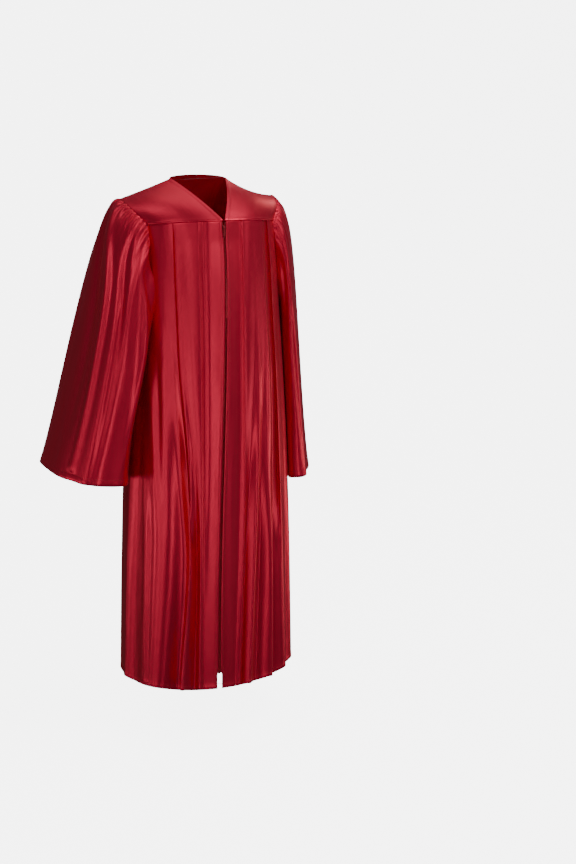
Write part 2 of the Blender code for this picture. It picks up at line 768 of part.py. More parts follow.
def box_object(name, low, high, bevel, parts):
    """A box with rounded edges."""
    bm = bmesh.new()
    box_mesh(bm, low, high)
    bmesh.ops.recalc_face_normals(bm, faces=bm.faces)
    if bevel:
        bmesh.ops.bevel(bm, geom=bm.edges, offset=bevel, segments=2, profile=0.5, affect="EDGES")
    mesh = bpy.data.meshes.new(name)
    bm.to_mesh(mesh)
    bm.free()
    return add_object(name, mesh, "zip_metal", parts)


def combine(target, tool, operation, tools):
    """Joins tool to target, or cuts it away, with an exact Boolean; the tool is then hidden."""
    modifier = target.modifiers.new(tool.name, "BOOLEAN")
    modifier.operation = operation
    modifier.solver = "EXACT"
    modifier.object = tool
    tool.hide_render = True
    tool.display_type = "WIRE"
    tools.objects.link(tool)
    for collection in list(tool.users_collection):
        if collection != tools:
            collection.objects.unlink(tool)


def build_slider(parts, tools):
    """The slider: a rounded body with two ears and the pin between them."""
    front, pin = zip_front(), pin_centre()
    body = box_object(
        "zip_slider",
        (front.x - SLIDER_WIDTH / 2, front.y - 0.0018, SLIDER_TOP_Z - SLIDER_HEIGHT),
        (front.x + SLIDER_WIDTH / 2, front.y - 0.0018 + SLIDER_THICK, SLIDER_TOP_Z),
        SLIDER_BEVEL,
        parts,
    )
    for side in (RIGHT, LEFT):
        inner, outer = side * EAR_INNER, side * (EAR_INNER + EAR_THICK)
        ear = box_object(
            f"ear_{side}",
            (front.x + min(inner, outer), pin.y - EAR_RADIUS, pin.z - EAR_RADIUS),
            (front.x + max(inner, outer), front.y - 0.0008, pin.z + EAR_RADIUS),
            0.0003,
            parts,
        )
        combine(body, ear, "UNION", tools)
    pin_rod = rod_object("pin", PIN_RADIUS, -EAR_INNER - 0.0005, EAR_INNER + 0.0005, pin, 12, parts)
    combine(body, pin_rod, "UNION", tools)


def build_pull_tab(parts, tools):
    """The pull tab: an eye round the pin and a flat tongue that hangs from it."""
    pin = pin_centre()
    tab = rod_object("zip_pull_tab", TAB_EYE_RADIUS, -TAB_EYE_HALF, TAB_EYE_HALF, pin, 20, parts)
    neck = box_object(
        "neck",
        (pin.x - TAB_NECK_HALF, pin.y - TAB_THICK / 2, pin.z - 0.0060),
        (pin.x + TAB_NECK_HALF, pin.y + TAB_THICK / 2, pin.z - 0.0006),
        0.0,
        parts,
    )
    tongue = box_object(
        "tongue",
        (pin.x - TAB_HALF_WIDTH, pin.y - TAB_THICK / 2, pin.z - TAB_LENGTH),
        (pin.x + TAB_HALF_WIDTH, pin.y + TAB_THICK / 2, pin.z - 0.0050),
        0.0004,
        parts,
    )
    bore = rod_object("bore", TAB_EYE_BORE, -0.004, 0.004, pin, 20, parts)
    combine(tab, neck, "UNION", tools)
    combine(tab, tongue, "UNION", tools)
    combine(tab, bore, "DIFFERENCE", tools)


def main():
    """Clears the scene and builds the gown."""
    for old in list(bpy.data.objects):
        bpy.data.objects.remove(old)
    parts = bpy.data.collections.new("graduation_gown")
    tools = bpy.data.collections.new("cutters")
    bpy.context.scene.collection.children.link(parts)
    bpy.context.scene.collection.children.link(tools)
    build_fronts(parts)
    build_back(parts)
    build_yoke(parts)
    build_sleeves(parts)
    build_zip(parts)
    build_slider(parts, tools)
    build_pull_tab(parts, tools)


main()
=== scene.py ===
"""Looks of a graduation gown in its worn, hollow form.

Every cut piece of cloth is a thin satin shell on the form of its solid: pleats pressed into the yoke's
seam, gathers at the sleeve heads, turned hems and cuffs, and the long soft folds of the skirt. The sewing and
the zip are laid on that. Metres, +Z up, the front faces -Y and +X is the wearer's left.
"""

from __future__ import annotations

import json
import logging
import math
from dataclasses import dataclass, field
from enum import Enum
from typing import Callable, NamedTuple, Sequence, TypeVar

import bmesh
import bpy
from mathutils import Matrix, Vector

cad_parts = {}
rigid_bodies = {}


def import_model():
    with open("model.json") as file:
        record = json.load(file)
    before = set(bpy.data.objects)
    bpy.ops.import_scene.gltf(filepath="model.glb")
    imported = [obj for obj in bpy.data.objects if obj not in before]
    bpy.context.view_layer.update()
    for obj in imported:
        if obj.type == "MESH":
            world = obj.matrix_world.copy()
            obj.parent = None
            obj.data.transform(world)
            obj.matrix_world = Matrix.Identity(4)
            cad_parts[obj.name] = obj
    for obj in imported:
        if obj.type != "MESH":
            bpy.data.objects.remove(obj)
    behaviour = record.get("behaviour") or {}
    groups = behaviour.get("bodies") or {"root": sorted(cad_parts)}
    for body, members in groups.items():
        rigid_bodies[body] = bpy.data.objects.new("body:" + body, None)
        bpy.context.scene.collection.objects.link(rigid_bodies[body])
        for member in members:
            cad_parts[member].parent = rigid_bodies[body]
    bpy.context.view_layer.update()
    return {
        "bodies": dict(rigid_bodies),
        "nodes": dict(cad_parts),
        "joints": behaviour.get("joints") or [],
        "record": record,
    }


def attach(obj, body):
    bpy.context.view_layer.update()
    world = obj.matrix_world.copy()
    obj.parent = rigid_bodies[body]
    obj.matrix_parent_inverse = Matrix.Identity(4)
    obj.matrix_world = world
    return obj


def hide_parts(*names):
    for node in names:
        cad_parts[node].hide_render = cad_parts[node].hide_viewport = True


LOG = logging.getLogger("gown")

Blend = TypeVar("Blend", float, Vector)
Triple = tuple[float, float, float]
Colour = Triple
Curve = Callable[[float], Vector]
Patch = Callable[[float, float], Vector]
Place = Callable[[int, int], Vector]
Seam = Callable[[float], tuple[Vector, Vector]]
Socket = bpy.types.NodeSocket


class Side(Enum):
    """A side of the wearer; the value is the sign of X there."""

    RIGHT = -1
    LEFT = 1


class Half(Enum):
    """The front or the back of the body of the gown."""

    FRONT = "front"
    BACK = "back"


def ease(share: float) -> float:
    """Gives a smooth step from 0 to 1."""
    share = min(1.0, max(0.0, share))
    return share * share * (3.0 - 2.0 * share)


def mix(first: Blend, second: Blend, share: float) -> Blend:
    """Gives the value or point that lies share of the way from first to second."""
    return first * (1.0 - share) + second * share


def along(stops: Sequence[float], values: Sequence[float], at: float) -> float:
    """Reads a smooth curve through values.

    Args:
        stops: Where the values are given, in rising or falling order.
        values: The values there.
        at: Where the curve is read; outside the stops it keeps its end value.

    Returns:
        The value there.
    """
    falling = stops[0] > stops[-1]
    at = min(stops[0], max(stops[-1], at)) if falling else max(stops[0], min(stops[-1], at))
    index = 0
    for k in range(1, len(stops) - 1):
        if (at < stops[k]) if falling else (at > stops[k]):
            index = k
    before, after = max(index - 1, 0), min(index + 2, len(stops) - 1)
    run = stops[index + 1] - stops[index]
    slope0 = (values[index + 1] - values[before]) / (stops[index + 1] - stops[before])
    slope1 = (values[after] - values[index]) / (stops[after] - stops[index])
    share = (at - stops[index]) / run
    square, cube = share * share, share * share * share
    return (
        (2 * cube - 3 * square + 1) * values[index]
        + (cube - 2 * square + share) * run * slope0
        + (3 * square - 2 * cube) * values[index + 1]
        + (cube - square) * run * slope1
    )


class Level(NamedTuple):
    """One horizontal section of the body of the gown."""

    z: float
    middle_x: float
    half_width: float
    front_y: float
    back_y: float
    side_y: float
    zip_x: float


class Fold(NamedTuple):
    """A fold that runs down the body, with its values at the five heights of FoldedBody.fold_heights.

    foot and lip are degrees from the middle of the front or back: the cloth rises from the foot to the lip.
    depth is that rise in millimetres. A fold with depth at the top is a pleat sewn into the yoke's seam.
    """

    foot: tuple[float, ...]
    lip: tuple[float, ...]
    depth: tuple[float, ...]


class Crease(NamedTuple):
    """A soft ridge or trough laid on a piece.

    down runs down the piece (a height, or a share of a sleeve's length), across is where the crease lies
    there (degrees, or a share), rise is in millimetres, and width is in the units of across.
    """

    down: tuple[float, ...]
    across: tuple[float, ...]
    rise: tuple[float, ...]
    width: float

    def offset(self, across: float, down: float, wraps: bool = False) -> float:
        """Gives the cloth's rise in metres at a place.

        Args:
            across: The place across the piece.
            down: The place down the piece.
            wraps: Whether across is a share of a ring, where 0 and 1 meet.

        Returns:
            The rise, negative in a trough.
        """
        low, high = min(self.down[0], self.down[-1]), max(self.down[0], self.down[-1])
        if not low <= down <= high:
            return 0.0
        away = across - along(self.down, self.across, down)
        if wraps:
            away = (away + 0.5) % 1.0 - 0.5
        away /= self.width
        if abs(away) > 2.8:
            return 0.0
        return along(self.down, self.rise, down) * math.exp(-away * away) / 1000.0


@dataclass
class FoldedBody:
    """The form of the gown's body: its sections, its pleats and folds, and where its seams run."""

    hem_z: float = -1.280
    side_seam: float = 90.0
    underarm_z: float = -0.325
    yoke_front_z: float = -0.089
    yoke_corner_z: float = -0.101
    yoke_back_z: float = -0.135
    yoke_front_corner: float = 56.0
    yoke_back_corner: float = 127.0
    seam_flattens: float = 0.55
    seam_flattens_over: float = 0.06
    zip_top_z: float = -0.0935
    slot_half: float = 0.0026
    slot_top_half: float = 0.0052
    slot_top_run: float = 0.055
    slit_half: float = 0.0055
    slit_top_z: float = -1.240
    steep_from: float = -0.46
    steep_over: float = 0.34
    steepness: float = 1.8
    steep_start: float = 0.22
    steep_share: float = 0.55
    side_flattens: float = 0.35
    hem_levels: float = 0.46
    hem_levels_over: float = 0.10
    fold_heights: tuple[float, ...] = (-0.09, -0.42, -0.70, -0.95, -1.28)
    levels: tuple[Level, ...] = (
        Level(-0.080, 0.000, 0.188, -0.168, 0.140, 0.030, 0.003),
        Level(-0.200, 0.001, 0.194, -0.178, 0.158, 0.030, 0.0055),
        Level(-0.330, 0.003, 0.197, -0.182, 0.160, 0.030, 0.0035),
        Level(-0.480, 0.006, 0.204, -0.180, 0.158, 0.030, 0.000),
        Level(-0.650, 0.008, 0.212, -0.175, 0.166, 0.030, -0.005),
        Level(-0.850, 0.008, 0.221, -0.168, 0.182, 0.031, -0.011),
        Level(-1.060, 0.007, 0.228, -0.160, 0.202, 0.033, -0.015),
        Level(-1.290, 0.006, 0.234, -0.152, 0.220, 0.035, -0.016),
    )
    folds: dict[tuple[Half, Side], tuple[Fold, ...]] = field(default_factory=lambda: {
        (Half.FRONT, Side.RIGHT): (
            Fold((14.7, 16.2, 16.5, 16.2, 15.6), (17.9, 18.4, 18.5, 18.2, 18.3), (6.2, 6.0, 5.0, 5.0, 6.0)),
            Fold((34.2, 31.9, 24.2, 21.0, 22.0), (36.2, 34.3, 27.6, 25.3, 30.8), (5.6, 7.0, 9.0, 14.0, 16.0)),
            Fold((41.0, 38.5, 34.5, 28.5, 33.5), (46.0, 46.0, 47.0, 47.0, 50.8), (0.0, 1.5, 10.0, 20.0, 27.0)),
            Fold((62.0, 64.0, 68.0, 71.0, 74.0), (68.0, 70.0, 76.0, 80.0, 83.0), (0.0, 3.0, 7.0, 10.0, 13.0)),
        ),
        (Half.FRONT, Side.LEFT): (
            Fold((13.8, 10.9, 8.9, 7.2, 4.6), (15.8, 12.9, 11.0, 9.6, 7.4), (6.2, 6.0, 6.0, 6.0, 6.0)),
            Fold((24.0, 21.5, 17.0, 13.4, 10.2), (28.0, 25.5, 21.8, 18.2, 14.6), (0.0, 2.0, 9.0, 14.0, 15.0)),
            Fold((32.0, 29.5, 26.5, 26.0, 23.0), (36.0, 33.5, 31.5, 33.0, 32.5), (0.0, 1.0, 8.0, 15.0, 19.0)),
            Fold((41.4, 42.6, 40.5, 40.0, 40.5), (43.3, 45.5, 45.5, 47.5, 51.0), (5.6, 6.0, 9.0, 14.0, 18.0)),
            Fold((62.0, 63.0, 64.0, 63.0, 62.0), (68.0, 70.0, 73.0, 72.0, 72.0), (0.0, 3.0, 8.0, 11.0, 13.0)),
        ),
        (Half.BACK, Side.RIGHT): (
            Fold((8.0, 8.2, 8.5, 9.0, 9.0), (10.2, 11.0, 12.0, 14.0, 17.0), (6.2, 8.0, 12.0, 17.0, 22.0)),
            Fold((20.5, 21.0, 22.5, 25.0, 26.5), (22.7, 24.0, 27.0, 31.0, 35.0), (6.2, 8.0, 13.0, 20.0, 27.0)),
            Fold((33.0, 35.0, 38.0, 42.0, 46.0), (35.2, 38.0, 43.0, 49.0, 56.0), (5.6, 7.0, 12.0, 18.0, 25.0)),
            Fold((58.0, 59.0, 62.0, 65.0, 67.0), (63.0, 65.0, 70.0, 73.0, 76.0), (0.0, 3.0, 8.0, 12.0, 16.0)),
        ),
        (Half.BACK, Side.LEFT): (
            Fold((8.0, 7.8, 7.5, 7.4, 7.0), (10.2, 10.8, 12.0, 13.6, 16.0), (6.2, 8.0, 13.0, 19.0, 25.0)),
            Fold((20.5, 21.2, 22.0, 23.6, 25.0), (22.7, 24.0, 25.8, 29.0, 33.0), (6.2, 7.0, 11.0, 16.0, 21.0)),
            Fold((33.0, 34.2, 37.0, 40.0, 43.5), (35.2, 37.4, 42.0, 48.0, 54.0), (5.6, 8.0, 14.0, 21.0, 28.0)),
            Fold((58.0, 60.0, 62.0, 64.0, 65.0), (63.0, 65.0, 69.0, 72.0, 73.0), (0.0, 3.0, 8.0, 12.0, 15.0)),
        ),
    })
    creases: dict[tuple[Half, Side], tuple[Crease, ...]] = field(default_factory=lambda: {
        (Half.FRONT, Side.RIGHT): (
            Crease((-0.30, -0.48, -0.66, -0.86), (60.0, 57.0, 53.0, 52.0), (0.0, 3.0, 2.5, 0.0), 3.6),
            Crease((-0.42, -0.70, -0.95, -1.29), (33.0, 26.6, 25.2, 29.4), (0.0, 4.0, 5.0, 5.0), 2.3),
            Crease((-0.50, -0.72, -0.95, -1.29), (36.0, 34.0, 33.0, 37.4), (0.0, -3.5, -5.0, -5.5), 4.4),
            Crease((-0.38, -0.52, -0.70, -0.92), (50.5, 49.5, 48.0, 42.0), (0.0, -3.0, -2.4, 0.0), 3.2),
            Crease((-0.62, -0.80, -1.00, -1.27), (62.0, 60.0, 59.0, 61.0), (0.0, 2.6, 2.6, 1.2), 3.6),
            Crease((-0.70, -0.90, -1.10, -1.27), (54.0, 54.5, 55.5, 56.0), (0.0, -2.0, -2.2, -1.0), 2.6),
            Crease((-0.20, -0.34, -0.52, -0.70), (27.0, 26.0, 24.0, 22.5), (0.0, 1.6, 1.4, 0.0), 3.0),
            Crease((-0.085, -0.42, -0.70, -1.05), (14.0, 15.4, 15.8, 15.6), (-2.6, -3.6, -3.0, 0.0), 1.5),
            Crease((-0.08, -0.40, -0.80, -1.29), (-3.0, -3.0, -3.0, -3.0), (1.6, 1.6, 1.6, 1.6), 5.0),
        ),
        (Half.FRONT, Side.LEFT): (
            Crease((-0.08, -0.40, -0.80, -1.29), (-5.0, -5.0, -5.0, -5.0), (4.6, 5.0, 5.0, 4.4), 9.0),
            Crease((-0.08, -0.40, -0.80, -1.29), (13.0, 10.5, 8.6, 6.4), (-2.4, -2.6, -2.6, -2.0), 5.0),
            Crease((-0.088, -0.42, -0.80, -1.29), (16.2, 13.3, 10.8, 8.2), (1.2, 1.6, 1.6, 1.6), 0.8),
            Crease((-0.16, -0.34, -0.56, -0.80), (33.5, 35.0, 36.5, 37.0), (0.0, 2.2, 2.2, 0.0), 2.4),
            Crease((-0.50, -0.72, -0.95, -1.29), (25.5, 21.4, 18.0, 14.6), (0.0, 3.0, 4.0, 4.0), 2.2),
            Crease((-0.62, -0.80, -0.98, -1.29), (29.0, 26.4, 25.2, 22.0), (0.0, -2.0, -3.5, -3.5), 3.4),
            Crease((-0.72, -0.88, -1.02, -1.29), (34.2, 34.0, 34.2, 33.6), (0.0, 3.2, 4.5, 4.0), 2.8),
            Crease((-0.45, -0.70, -0.95, -1.22), (54.0, 55.0, 56.0, 57.0), (0.0, 2.6, 2.6, 0.8), 3.4),
        ),
        (Half.BACK, Side.RIGHT): (
            Crease((-0.20, -0.45, -0.75, -1.10), (14.5, 16.0, 17.5, 20.0), (0.0, 2.2, 2.2, 0.0), 2.6),
            Crease((-0.35, -0.60, -0.85, -1.20), (46.0, 48.0, 52.0, 60.0), (0.0, 2.8, 2.6, 0.0), 3.2),
            Crease((-0.50, -0.75, -1.00, -1.26), (30.0, 31.5, 35.0, 39.0), (0.0, -2.2, -2.6, -0.8), 2.8),
        ),
        (Half.BACK, Side.LEFT): (
            Crease((-0.18, -0.40, -0.66, -1.00), (15.5, 16.0, 17.0, 18.5), (0.0, 1.8, 2.6, 0.0), 2.6),
            Crease((-0.40, -0.62, -0.90, -1.22), (45.0, 47.0, 51.0, 57.0), (0.0, 2.4, 3.0, 0.0), 3.4),
            Crease((-0.30, -0.55, -0.80, -1.10), (28.0, 29.0, 31.0, 34.5), (0.0, -1.8, -2.6, 0.0), 2.6),
        ),
    })
    known_levels: dict[float, Level] = field(default_factory=dict)
    known_folds: dict[tuple[Half, Side, float], list[Triple]] = field(default_factory=dict)

    def level(self, z: float) -> Level:
        """Gives the body's section at height z.

        Args:
            z: The height.

        Returns:
            The section.
        """
        found = self.known_levels.get(z)
        if found is None:
            heights = [level.z for level in self.levels]
            found = Level(z, *(along(heights, [level[k] for level in self.levels], z) for k in range(1, 7)))
            self.known_levels[z] = found
        return found

    def fall(self, z: float) -> float:
        """Tells how far down the skirt z lies: 0 at the yoke's seam and 1 at the hem."""
        return min(1.0, max(0.0, (self.yoke_front_z - z) / (self.yoke_front_z - self.hem_z)))

    def folds_at(self, half: Half, side: Side, z: float) -> list[Triple]:
        """Gives the foot's angle, the lip's angle and the depth in metres of each fold at height z.

        Args:
            half: Front or back.
            side: The wearer's side.
            z: The height.

        Returns:
            The three values of each fold.
        """
        found = self.known_folds.get((half, side, z))
        if found is None:
            pressed = 1.0 - self.seam_flattens * (
                1.0 - ease((self.yoke_front_z - z) / self.seam_flattens_over)
            )
            found = [
                (
                    along(self.fold_heights, fold.foot, z),
                    along(self.fold_heights, fold.lip, z),
                    max(0.0, along(self.fold_heights, fold.depth, z)) * pressed / 1000.0,
                )
                for fold in self.folds[half, side]
            ]
            self.known_folds[half, side, z] = found
        return found

    def fold_offset(self, half: Half, side: Side, angle: float, z: float) -> float:
        """Tells how far the folded cloth lies inside the section's outline, as a negative length.

        Args:
            half: Front or back.
            side: The wearer's side.
            angle: Degrees from the middle of that half.
            z: The height.

        Returns:
            The offset in metres.
        """
        feet = self.folds_at(half, side, z)
        previous = (0.0, -feet[0][2])
        for foot, lip, depth in feet:
            if angle <= foot:
                return self.between(previous, (foot, -depth), angle)
            if angle <= lip:
                return -depth * (1.0 - self.rise((angle - foot) / (lip - foot), z))
            previous = (lip, 0.0)
        return self.between(previous, (self.side_seam, -self.side_flattens * feet[-1][2]), angle)

    def rise(self, share: float, z: float) -> float:
        """Gives how far the cloth has risen between a fold's foot and its lip: low down it rises at once.

        Args:
            share: The share of the way from the fold's foot to its lip.
            z: The height.

        Returns:
            The share of the fold's depth.
        """
        low = ease((self.steep_from - z) / self.steep_over)
        quick = (1.0 - (1.0 - share) ** self.steepness) * ease(share / self.steep_start)
        return mix(ease(share), quick, self.steep_share * low)

    @staticmethod
    def between(first: tuple[float, float], second: tuple[float, float], angle: float) -> float:
        """Reads the eased step between two stations at an angle.

        Args:
            first: The first station: an angle and the rise there.
            second: The second station.
            angle: Degrees from the middle of that half.

        Returns:
            The rise at that angle.
        """
        if second[0] <= first[0]:
            return second[1]
        return mix(first[1], second[1], ease((angle - first[0]) / (second[0] - first[0])))

    def crease_offset(self, half: Half, side: Side, angle: float, z: float) -> float:
        """Adds up the soft creases at an angle from the middle of that half."""
        return sum(crease.offset(angle, z) for crease in self.creases[half, side])

    def section_point(self, angle: float, z: float, offset: float) -> Vector:
        """Gives a point of the body's outline.

        Args:
            angle: Degrees from the centre front, positive to the wearer's left.
            z: The height of the section.
            offset: How far outside the section's outline the point lies.

        Returns:
            The point.
        """
        turn = math.radians(angle)
        level = self.level(z)
        front = math.cos(turn) > 0
        depth = level.side_y - level.front_y if front else level.back_y - level.side_y
        out = Vector((math.sin(turn) / level.half_width, -math.cos(turn) / depth, 0.0)).normalized()
        across = level.middle_x + level.half_width * math.sin(turn)
        return Vector((across, level.side_y - depth * math.cos(turn), z)) + out * offset

    def relief(self, half: Half, side: Side, angle: float, z: float) -> float:
        """Gives the folds and the creases together."""
        return self.fold_offset(half, side, angle, z) + self.crease_offset(half, side, angle, z)

    def hem_drop(self, offset: float, z: float) -> float:
        """Gives how the hem hangs lower in its troughs, as a negative length."""
        near = ease((self.hem_z + self.hem_levels_over - z) / self.hem_levels_over)
        return self.hem_levels * min(0.0, offset) * near

    def body_point(self, side: Side, angle: float, z: float) -> Vector:
        """Gives a point of the folded cloth; angle runs from 0 at the centre front to 180 at the centre back.

        Args:
            side: The wearer's side.
            angle: Degrees from the centre front, up to 180 at the centre back.
            z: The height.

        Returns:
            The point.
        """
        if angle <= self.side_seam:
            offset = self.fold_offset(Half.FRONT, side, angle, z)
        else:
            offset = self.fold_offset(Half.BACK, side, 180.0 - angle, z)
        return self.section_point(side.value * angle, z, offset)

    def yoke_seam_z(self, angle: float) -> float:
        """Gives the height of the yoke's lower seam at an angle from the centre front.

        Args:
            angle: Degrees from the centre front.

        Returns:
            The height.
        """
        if angle <= self.side_seam:
            return mix(self.yoke_front_z, self.yoke_corner_z, (angle / self.yoke_front_corner) ** 2)
        return self.yoke_back_z

    def zip_angle(self, side: Side, z: float, reach: float) -> float:
        """Gives the angle, on one side, of a point that lies reach beside the line of the zip.

        Args:
            side: The wearer's side.
            z: The height.
            reach: How far beside the line of the zip it lies.

        Returns:
            The angle in degrees.
        """
        level = self.level(z)
        across = side.value * (level.zip_x - level.middle_x) + reach
        return math.degrees(math.asin(across / level.half_width))

    def gap_half(self, z: float) -> float:
        """Gives half the gap between the fronts: wider round the slider, and at the slit under the zip."""
        flare = mix(self.slot_top_half, self.slot_half, ease((self.zip_top_z - z) / self.slot_top_run))
        return mix(flare, self.slit_half, ease((self.slit_top_z + 0.012 - z) / 0.016))

    def armhole_low(self, share: float, half: Half) -> tuple[float, float]:
        """Gives a point of the armhole's lower part, from the yoke's corner (0) to the underarm (1).

        Args:
            share: The share of the way down it.
            half: Front or back.

        Returns:
            The angle and the height.
        """
        back = half is Half.BACK
        corner = self.yoke_back_corner if back else self.yoke_front_corner
        corner_z = self.yoke_back_z if back else self.yoke_corner_z
        swing = share * math.pi / 2
        inward = 0.17 * ease(share / 0.3) + 0.83 * (1.0 - math.cos(swing)) ** 1.5
        return mix(corner, self.side_seam, inward), mix(corner_z, self.underarm_z, math.sin(swing))

    def axis(self, point: Vector) -> Vector:
        """Gives the middle of the body a little under a point's height."""
        level = self.level(round(point.z, 3))
        return Vector((level.middle_x, level.side_y, point.z - 0.02))


class Recipe:
    """A node material with one shader, under construction."""

    def __init__(self, name: str) -> None:
        """Starts the material, or finds it finished.

        Args:
            name: The material's name.
        """
        found = bpy.data.materials.get(name)
        self.known = found is not None and bool(found.get("finished"))
        self.made = found or bpy.data.materials.new(name)
        if self.known:
            return
        self.made["finished"] = True
        self.made.use_nodes = True
        self.nodes = self.made.node_tree.nodes
        self.link = self.made.node_tree.links.new
        self.nodes.clear()
        out = self.nodes.new("ShaderNodeOutputMaterial")
        shader = self.nodes.new("ShaderNodeBsdfPrincipled")
        self.sockets = shader.inputs
        self.link(shader.outputs["BSDF"], out.inputs["Surface"])

    def fix(self, values: dict[str, float | tuple[float, ...]]) -> None:
        """Sets constants on the shader's own sockets."""
        for socket, value in values.items():
            self.sockets[socket].default_value = value

    def cloth_map(self) -> Socket:
        """Gives the coordinates that run across and down a piece of cloth, in metres.

        Returns:
            The coordinate's socket.
        """
        where = self.nodes.new("ShaderNodeUVMap")
        where.uv_map = "cloth"
        return where.outputs["UV"]

    def object_space(self) -> Socket:
        """Gives the piece's own coordinates."""
        return self.nodes.new("ShaderNodeTexCoord").outputs["Object"]

    def noise(self, coordinate: Socket, scale: Triple, detail: float, roughness: float) -> Socket:
        """Adds a noise texture and gives its value.

        Args:
            coordinate: Where it is read.
            scale: Features per metre along each axis.
            detail: How many finer layers it has.
            roughness: How strong they are.

        Returns:
            The value's socket.
        """
        turned = self.nodes.new("ShaderNodeMapping")
        turned.inputs["Scale"].default_value = scale
        self.link(coordinate, turned.inputs["Vector"])
        made = self.nodes.new("ShaderNodeTexNoise")
        made.inputs["Scale"].default_value = 1.0
        made.inputs["Detail"].default_value = detail
        made.inputs["Roughness"].default_value = roughness
        self.link(turned.outputs["Vector"], made.inputs["Vector"])
        return made.outputs["Fac"]

    def wave(self, coordinate: Socket, direction: str, per_metre: float) -> Socket:
        """Adds sine bands and gives their value.

        Args:
            coordinate: Where they are read.
            direction: The axis that they cross.
            per_metre: How many there are in a metre.

        Returns:
            The value's socket.
        """
        made = self.nodes.new("ShaderNodeTexWave")
        made.wave_type = "BANDS"
        made.bands_direction = direction
        made.inputs["Scale"].default_value = per_metre / 20.0 * 2.0 * math.pi
        self.link(coordinate, made.inputs["Vector"])
        return made.outputs["Fac"]

    def math(self, operation: str, *values: Socket | float) -> Socket:
        """Adds a Math node.

        Args:
            operation: What it does.
            values: Its inputs, each a socket or a number.

        Returns:
            The result's socket.
        """
        made = self.nodes.new("ShaderNodeMath")
        made.operation = operation
        for index, value in enumerate(values):
            if isinstance(value, (int, float)):
                made.inputs[index].default_value = value
            else:
                self.link(value, made.inputs[index])
        return made.outputs["Value"]

    def tone(self, share: Socket, first: Colour, second: Colour) -> None:
        """Blends two colours into the shader's base colour.

        Args:
            share: How much of the second colour there is.
            first: The first colour.
            second: The second colour.
        """
        made = self.nodes.new("ShaderNodeMix")
        made.data_type = "RGBA"
        made.inputs["A"].default_value = (*first, 1.0)
        made.inputs["B"].default_value = (*second, 1.0)
        self.link(share, made.inputs["Factor"])
        self.link(made.outputs["Result"], self.sockets["Base Color"])

    def rough(self, share: Socket, middle: float, swing: float) -> None:
        """Varies the shader's roughness by a socket, to both sides of its middle."""
        self.link(self.math("MULTIPLY_ADD", share, swing, middle - 0.5 * swing), self.sockets["Roughness"])

    def bump(self, *layers: tuple[Socket, float]) -> None:
        """Raises the surface.

        Args:
            layers: Pairs of a height socket and its depth in metres, the broadest first.
        """
        last = None
        for height, depth in layers:
            made = self.nodes.new("ShaderNodeBump")
            made.inputs["Strength"].default_value = 1.0
            made.inputs["Distance"].default_value = depth
            self.link(height, made.inputs["Height"])
            if last is not None:
                self.link(last, made.inputs["Normal"])
            last = made.outputs["Normal"]
        self.link(last, self.sockets["Normal"])


@dataclass(frozen=True)
class SatinFinish:
    """Shiny woven satin: a coloured sheen that runs down the warp, fine weave and small creases."""

    name: str = "satin"
    deep: Colour = (0.62, 0.020, 0.052)
    bright: Colour = (0.80, 0.026, 0.072)
    metallic: float = 0.60
    roughness: float = 0.33
    anisotropic: float = 0.50
    sheen: float = 0.10
    weave_pitch: float = 0.0006
    weave_depth: float = 0.00002
    streak_depth: float = 0.00008
    crumple_depth: float = 0.0022

    def material(self) -> bpy.types.Material:
        """Builds the finish as a material, once.

        Returns:
            The material.
        """
        recipe = Recipe(self.name)
        if recipe.known:
            return recipe.made
        recipe.fix({
            "Metallic": self.metallic, "Anisotropic": self.anisotropic, "Anisotropic Rotation": 0.25,
            "Specular Tint": (1.0, 0.16, 0.24, 1.0), "Sheen Weight": self.sheen, "Sheen Roughness": 0.45,
            "Sheen Tint": (1.0, 0.30, 0.40, 1.0),
        })
        tangent = recipe.nodes.new("ShaderNodeTangent")
        tangent.direction_type = "UV_MAP"
        tangent.uv_map = "cloth"
        recipe.link(tangent.outputs["Tangent"], recipe.sockets["Tangent"])
        where = recipe.cloth_map()
        streaks = recipe.noise(where, (150.0, 5.0, 1.0), 3.0, 0.55)
        patches = recipe.noise(where, (14.0, 2.6, 1.0), 2.0, 0.5)
        crumple = recipe.noise(where, (16.0, 5.0, 1.0), 2.0, 0.45)
        share = recipe.math("MULTIPLY_ADD", streaks, 0.55, recipe.math("MULTIPLY", patches, 0.45))
        recipe.tone(share, self.deep, self.bright)
        recipe.rough(streaks, self.roughness, 0.14)
        warp = recipe.wave(where, "X", 1.0 / self.weave_pitch)
        weave = recipe.math("MULTIPLY", warp, recipe.wave(where, "Y", 0.4 / self.weave_pitch))
        recipe.bump((crumple, self.crumple_depth), (streaks, self.streak_depth), (weave, self.weave_depth))
        return recipe.made


@dataclass(frozen=True)
class ReverseFinish:
    """The duller inner face of the satin."""

    name: str = "satin_reverse"
    deep: Colour = (0.78, 0.016, 0.045)
    bright: Colour = (0.92, 0.020, 0.060)
    roughness: float = 0.58
    weave_pitch: float = 0.0009
    weave_depth: float = 0.00006
    streak_depth: float = 0.0004

    def material(self) -> bpy.types.Material:
        """Builds the finish as a material, once.

        Returns:
            The material.
        """
        recipe = Recipe(self.name)
        if recipe.known:
            return recipe.made
        recipe.fix({"Specular Tint": (1.0, 0.30, 0.34, 1.0), "Specular IOR Level": 0.35})
        where = recipe.cloth_map()
        streaks = recipe.noise(where, (180.0, 9.0, 1.0), 3.0, 0.6)
        recipe.tone(streaks, self.deep, self.bright)
        recipe.rough(streaks, self.roughness, 0.16)
        warp = recipe.wave(where, "X", 0.25 / self.weave_pitch)
        weave = recipe.math("MULTIPLY", warp, recipe.wave(where, "Y", 1.0 / self.weave_pitch))
        recipe.bump((streaks, self.streak_depth), (weave, self.weave_depth))
        return recipe.made


